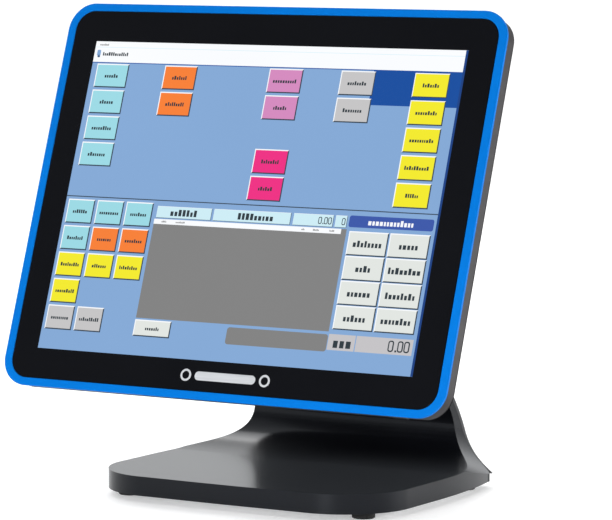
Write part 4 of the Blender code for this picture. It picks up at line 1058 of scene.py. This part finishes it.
def stand_width(inset):
    """The stand's width against its height, as a prism tipped down to the rear by the flare's angle."""
    wide, narrow, top = BASE_HALF_W - inset, NECK_HALF_W - inset, NECK_TOP_HALF_W - inset
    waist = tipped_height(NECK_FRONT_Y, BASE_TOP + BEND_RISE)
    start = waist - FLARE_RUN
    end = tipped_height(*neck_end(0.0))
    reach = (end - waist) * NECK_SIDE_HANDLE
    arriving = (narrow + FLARE_END_OUT, waist - FLARE_END_DOWN)
    leaving = (narrow - reach * FLARE_END_OUT / FLARE_END_DOWN, waist + reach)
    right = [(wide, -BLOCK_MORE)]
    right += bezier((wide, start), (wide, start + FLARE_START_HANDLE), arriving, (narrow, waist))
    right += bezier((narrow, waist), leaving, (top, end - reach), (top, end), ARC_STEPS)[1:]
    right += [(top, end + BLOCK_MORE)]
    left = [(-x, y) for x, y in reversed(right)]
    mesh = slab([right + left], BLOCK_HALF_Y, -BLOCK_HALF_Y)
    mesh.transform(Matrix.Rotation(math.pi / 2 - FLARE, 4, "X"))
    return mesh


def plan_outline(inset):
    """The base seen from above, with a slightly bowed front."""
    wide = BASE_HALF_W - inset
    front = BASE_FRONT_Y + inset
    rear = BASE_REAR_Y - inset
    radius = BASE_FRONT_R - inset
    corner = BASE_REAR_R - inset
    rear_wide = BASE_REAR_HALF_W - inset
    bowed = front - FRONT_BOW
    near, far = BOW_HANDLES_X
    right = bezier((0.0, bowed), (near, bowed), (far, front), (wide - radius, front), BOW_STEPS)
    right += arc(wide - radius, front + radius, radius, -90, 0, ROUND_STEPS)[1:]
    tuck = (rear_wide + TUCK_OUT, rear - TUCK_FORWARD)
    right += bezier(
        (wide, BASE_REAR_Y - SIDE_START_BACK),
        (wide, BASE_REAR_Y - SIDE_HANDLE_BACK),
        (tuck[0] + TUCK_HANDLE_OUT, tuck[1] - TUCK_HANDLE_FORWARD),
        tuck,
    )
    right += arc(rear_wide - corner / 2, rear - corner, corner, CORNER_START, 90, CORNER_STEPS)
    left = [(-x, y) for x, y in reversed(right) if x > 0]
    return right + left


def stand_blank(points, inset, plan=True):
    """The solid whose side view is this outline, kept within the stand's width and, if plan, its plan."""
    body = cutter(side_prism(points))
    cut(body, cutter(stand_width(inset)), "INTERSECT")
    if plan:
        cut(body, cutter(slab([plan_outline(inset)], BLOCK_HALF_Z, -BLOCK_HALF_Z)), "INTERSECT")
    return body


def cable_exit():
    size = (CABLE_EXIT_W, THROUGH, CABLE_EXIT_H + GAP)
    return cutter(boxes((size, (0, COVER_REAR_Y, CABLE_COVER_LOW_Z + (CABLE_EXIT_H - GAP) / 2))))


def base_hollow():
    """The space under the base's top, open below."""
    before, low = BASE_FRONT_Y - CLEAR, FOOT_H - CLEAR
    rear = BASE_REAR_Y - CASTING_WALL
    sweep = front_curve(CASTING_WALL)[: CURVE_STEPS + 1]
    roof = [(before, BASE_TOP - CASTING_WALL), *sweep, (rear, sweep[-1][1])]
    return stand_blank([(before, low), *roof, (rear, low)], CASTING_WALL)


def cable_channel():
    """The space in the neck, open at the rear, up to the solid block at the neck's end."""
    behind = COVER_REAR_Y + THROUGH
    front = front_curve(CASTING_WALL)[CURVE_STEPS // 3 :]
    last_y, last_z = front[-1]
    rear = [(last_y + THROUGH, last_z + THROUGH), (behind, CHANNEL_MOUTH_Z), (behind, BASE_TOP + REAR_RISE)]
    channel = stand_blank(front + rear, CASTING_WALL, plan=False)
    block = boxes(((3 * NECK_TOP_HALF_W, 2 * END_BLOCK, BLOCK_MORE), (0, NECK_END_GAP, 0)))
    cut(channel, cutter(block, NECK))
    return channel


def build_casting():
    """The base and neck in one piece, hollow under the base and behind the neck."""
    before = BASE_FRONT_Y - CLEAR
    rear = rear_curve(COVER_T + GAP)
    top = [(before, BASE_TOP), *front_curve(0.0), *reversed(rear)]
    casting = stand_blank([(before, FOOT_H), *top, (rear[0][0], FOOT_H)], 0.0)
    casting.name = "stand_body"
    bevel(casting, STAND_EDGE, EDGE_STEPS, STAND_EDGE_ANGLE)
    cut(casting, base_hollow())
    cut(casting, cable_channel())
    cut(casting, cable_exit())
    casting.matrix_world = STAND
    finish(casting, STAND_METAL, "stand", "stand_metal", "stand_casting")


def build_cable_cover():
    """The curved plate over the neck's rear, with the slots that cables pass through."""
    rear, low = COVER_REAR_Y, CABLE_COVER_LOW_Z
    points = [(rear, low), *rear_curve(0.0), *reversed(rear_curve(COVER_T)), (rear - COVER_T, low)]
    cover = stand_blank(points, 0.0, plan=False)
    cover.name = "cable_channel_cover"
    bevel(cover, COVER_EDGE, EDGE_STEPS, STAND_EDGE_ANGLE)
    cut(cover, cable_exit())
    slot_y = NECK_END_GAP + END_BLOCK + CABLE_SLOT_L / 2 + CABLE_SLOT_DOWN
    slot = [rounded_rect(CABLE_SLOT_W, CABLE_SLOT_L, CABLE_SLOT_R, 0.0, slot_y, SMALL_STEPS)]
    cut(cover, cutter(slab(slot, NECK_T / 2 + CLEAR, NECK_T / 2 - CLEAR), NECK))
    cover.matrix_world = STAND
    finish(cover, CABLE_COVER, "cable_cover", "cable_cover_black", "cable_cover")


def build_feet():
    for node in [n for n in frame["nodes"] if n.startswith("foot_")]:
        low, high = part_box(node)
        radius, height = (high.x - low.x) / 2, high.z - low.z
        inner, outer = (radius * share for share in FOOT_HOLLOW_R)
        tread = arc(radius - FOOT_EDGE, FOOT_EDGE, FOOT_EDGE, -90, 0, TINY_STEPS)
        hollow = [(0.0, FOOT_HOLLOW), (inner, FOOT_HOLLOW), (outer, 0.0)]
        profile = [*hollow, *tread, (radius, height), (0.0, height)]
        place = Matrix.Translation(((low.x + high.x) / 2, (low.y + high.y) / 2, low.z))
        piece("rubber_" + node, turned_mesh(profile), place, RUBBER, "stand", "rubber", node)


# Stage, light and camera

BACKDROP_SIDE = (-0.83, 0.56, 0.0)
ROOM_FRONT = 0.33
ROOM_BACK = 1.12
ROOM_START = -0.4
ROOM_END = 0.9
ROOM_COLOUR = (0.97, 0.985, 1.0, 1.0)
LAMP_COLOUR = (1.0, 0.99, 0.98)
SUN_ANGLE = 110.0
SUN_STRENGTH = 1.05
SUN_TURN = (12.0, -10.0, 0.0)
BASE_CORNER = (0.1, -0.09, 0.02)  # where the base's front bends round to its right side
STAND_MIDDLE = (0.0, 0.0, 0.1)
FLOOR_HALF = 40.0
FLOOR_GLOW = 0.28
FLOOR_DARK = (0.9, 0.9, 0.9, 1.0)
FLOOR_LIGHT = (0.92, 0.92, 0.92, 1.0)
WHITE_GLOW = (1.0, 1.0, 1.0, 1.0)

CAMERA_AZIMUTH = 31.31
CAMERA_ELEVATION = 5.69
CAMERA_TARGET = (0.0, 0.0195, 0.1643)
CAMERA_DISTANCE = 2.5866
CAMERA_LENS = 214.7
CAMERA_SENSOR = 36.0


def add_camera():
    data = bpy.data.cameras.new("camera")
    data.lens = CAMERA_LENS
    data.sensor_width = CAMERA_SENSOR
    data.sensor_fit = "HORIZONTAL"
    camera = bpy.data.objects.new("camera", data)
    SCENE.collection.objects.link(camera)
    azimuth, elevation = math.radians(CAMERA_AZIMUTH), math.radians(CAMERA_ELEVATION)
    level = math.cos(elevation)
    ahead = Vector((-math.sin(azimuth) * level, math.cos(azimuth) * level, -math.sin(elevation)))
    across = Vector((math.cos(azimuth), math.sin(azimuth), 0.0))
    turn = Matrix((across, across.cross(ahead), -ahead)).transposed().to_4x4()
    camera.matrix_world = Matrix.Translation(Vector(CAMERA_TARGET) - ahead * CAMERA_DISTANCE) @ turn
    SCENE.camera = camera


def add_floor():
    shape = bmesh.new()
    bmesh.ops.create_grid(shape, x_segments=1, y_segments=1, size=FLOOR_HALF)
    floor = placed("studio_floor", as_mesh(shape, "floor"))
    look = Look("studio_floor", roughness=0.9, specular=0.1)
    look.colours(look.noise(FLOOR_SHADE_SCALE, 2.0), FLOOR_DARK, FLOOR_LIGHT)
    look.shader.inputs["Emission Color"].default_value = WHITE_GLOW
    look.shader.inputs["Emission Strength"].default_value = FLOOR_GLOW
    floor.data.materials.append(look.material)


def add_light(name, place, target, size, power):
    data = bpy.data.lights.new(name, "AREA")
    data.shape = "RECTANGLE"
    data.size, data.size_y = size
    data.energy = power
    data.color = LAMP_COLOUR
    light = bpy.data.objects.new(name, data)
    light.visible_camera = False
    SCENE.collection.objects.link(light)
    light.location = place
    light.rotation_euler = (Vector(target) - Vector(place)).to_track_quat("-Z", "Y").to_euler()


def add_world():
    """A pale room, brighter behind the object than in front of it."""
    world = bpy.data.worlds.new("studio")
    world.use_nodes = True
    nodes, links = world.node_tree.nodes, world.node_tree.links
    direction = nodes.new("ShaderNodeTexCoord").outputs["Generated"]
    facing = nodes.new("ShaderNodeVectorMath")
    facing.operation = "DOT_PRODUCT"
    facing.inputs[1].default_value = BACKDROP_SIDE
    links.new(direction, facing.inputs[0])
    strength = nodes.new("ShaderNodeMapRange")
    strength.interpolation_type = "SMOOTHSTEP"
    strength.inputs["From Min"].default_value = ROOM_START
    strength.inputs["From Max"].default_value = ROOM_END
    strength.inputs["To Min"].default_value = ROOM_FRONT
    strength.inputs["To Max"].default_value = ROOM_BACK
    links.new(facing.outputs["Value"], strength.inputs["Value"])
    background = nodes["Background"]
    background.inputs["Color"].default_value = ROOM_COLOUR
    links.new(strength.outputs["Result"], background.inputs["Strength"])
    SCENE.world = world


def add_sun():
    """One even light from all over the ceiling, so that the floor is pale as far as it is seen."""
    data = bpy.data.lights.new("ceiling", "SUN")
    data.angle = math.radians(SUN_ANGLE)
    data.energy = SUN_STRENGTH
    light = bpy.data.objects.new("ceiling", data)
    SCENE.collection.objects.link(light)
    light.rotation_euler = [math.radians(turn) for turn in SUN_TURN]


def light_studio():
    add_world()
    add_sun()
    add_light("front_strip", (0.09, -0.99, 0.15), BASE_CORNER, (0.26, 0.28), 6.0)
    add_light("side_strip", (0.84, 0.4, 0.15), BASE_CORNER, (0.36, 0.28), 7.5)
    add_light("rear_box", (-1.35, 1.2, 1.8), STAND_MIDDLE, (1.2, 1.2), 16)


dress_cad_nodes()
build_screen()
build_front()
build_mark()
build_mid_frame()
build_rear_cover()
build_screws()
build_casting()
build_cable_cover()
build_feet()
add_floor()
light_studio()
add_camera()
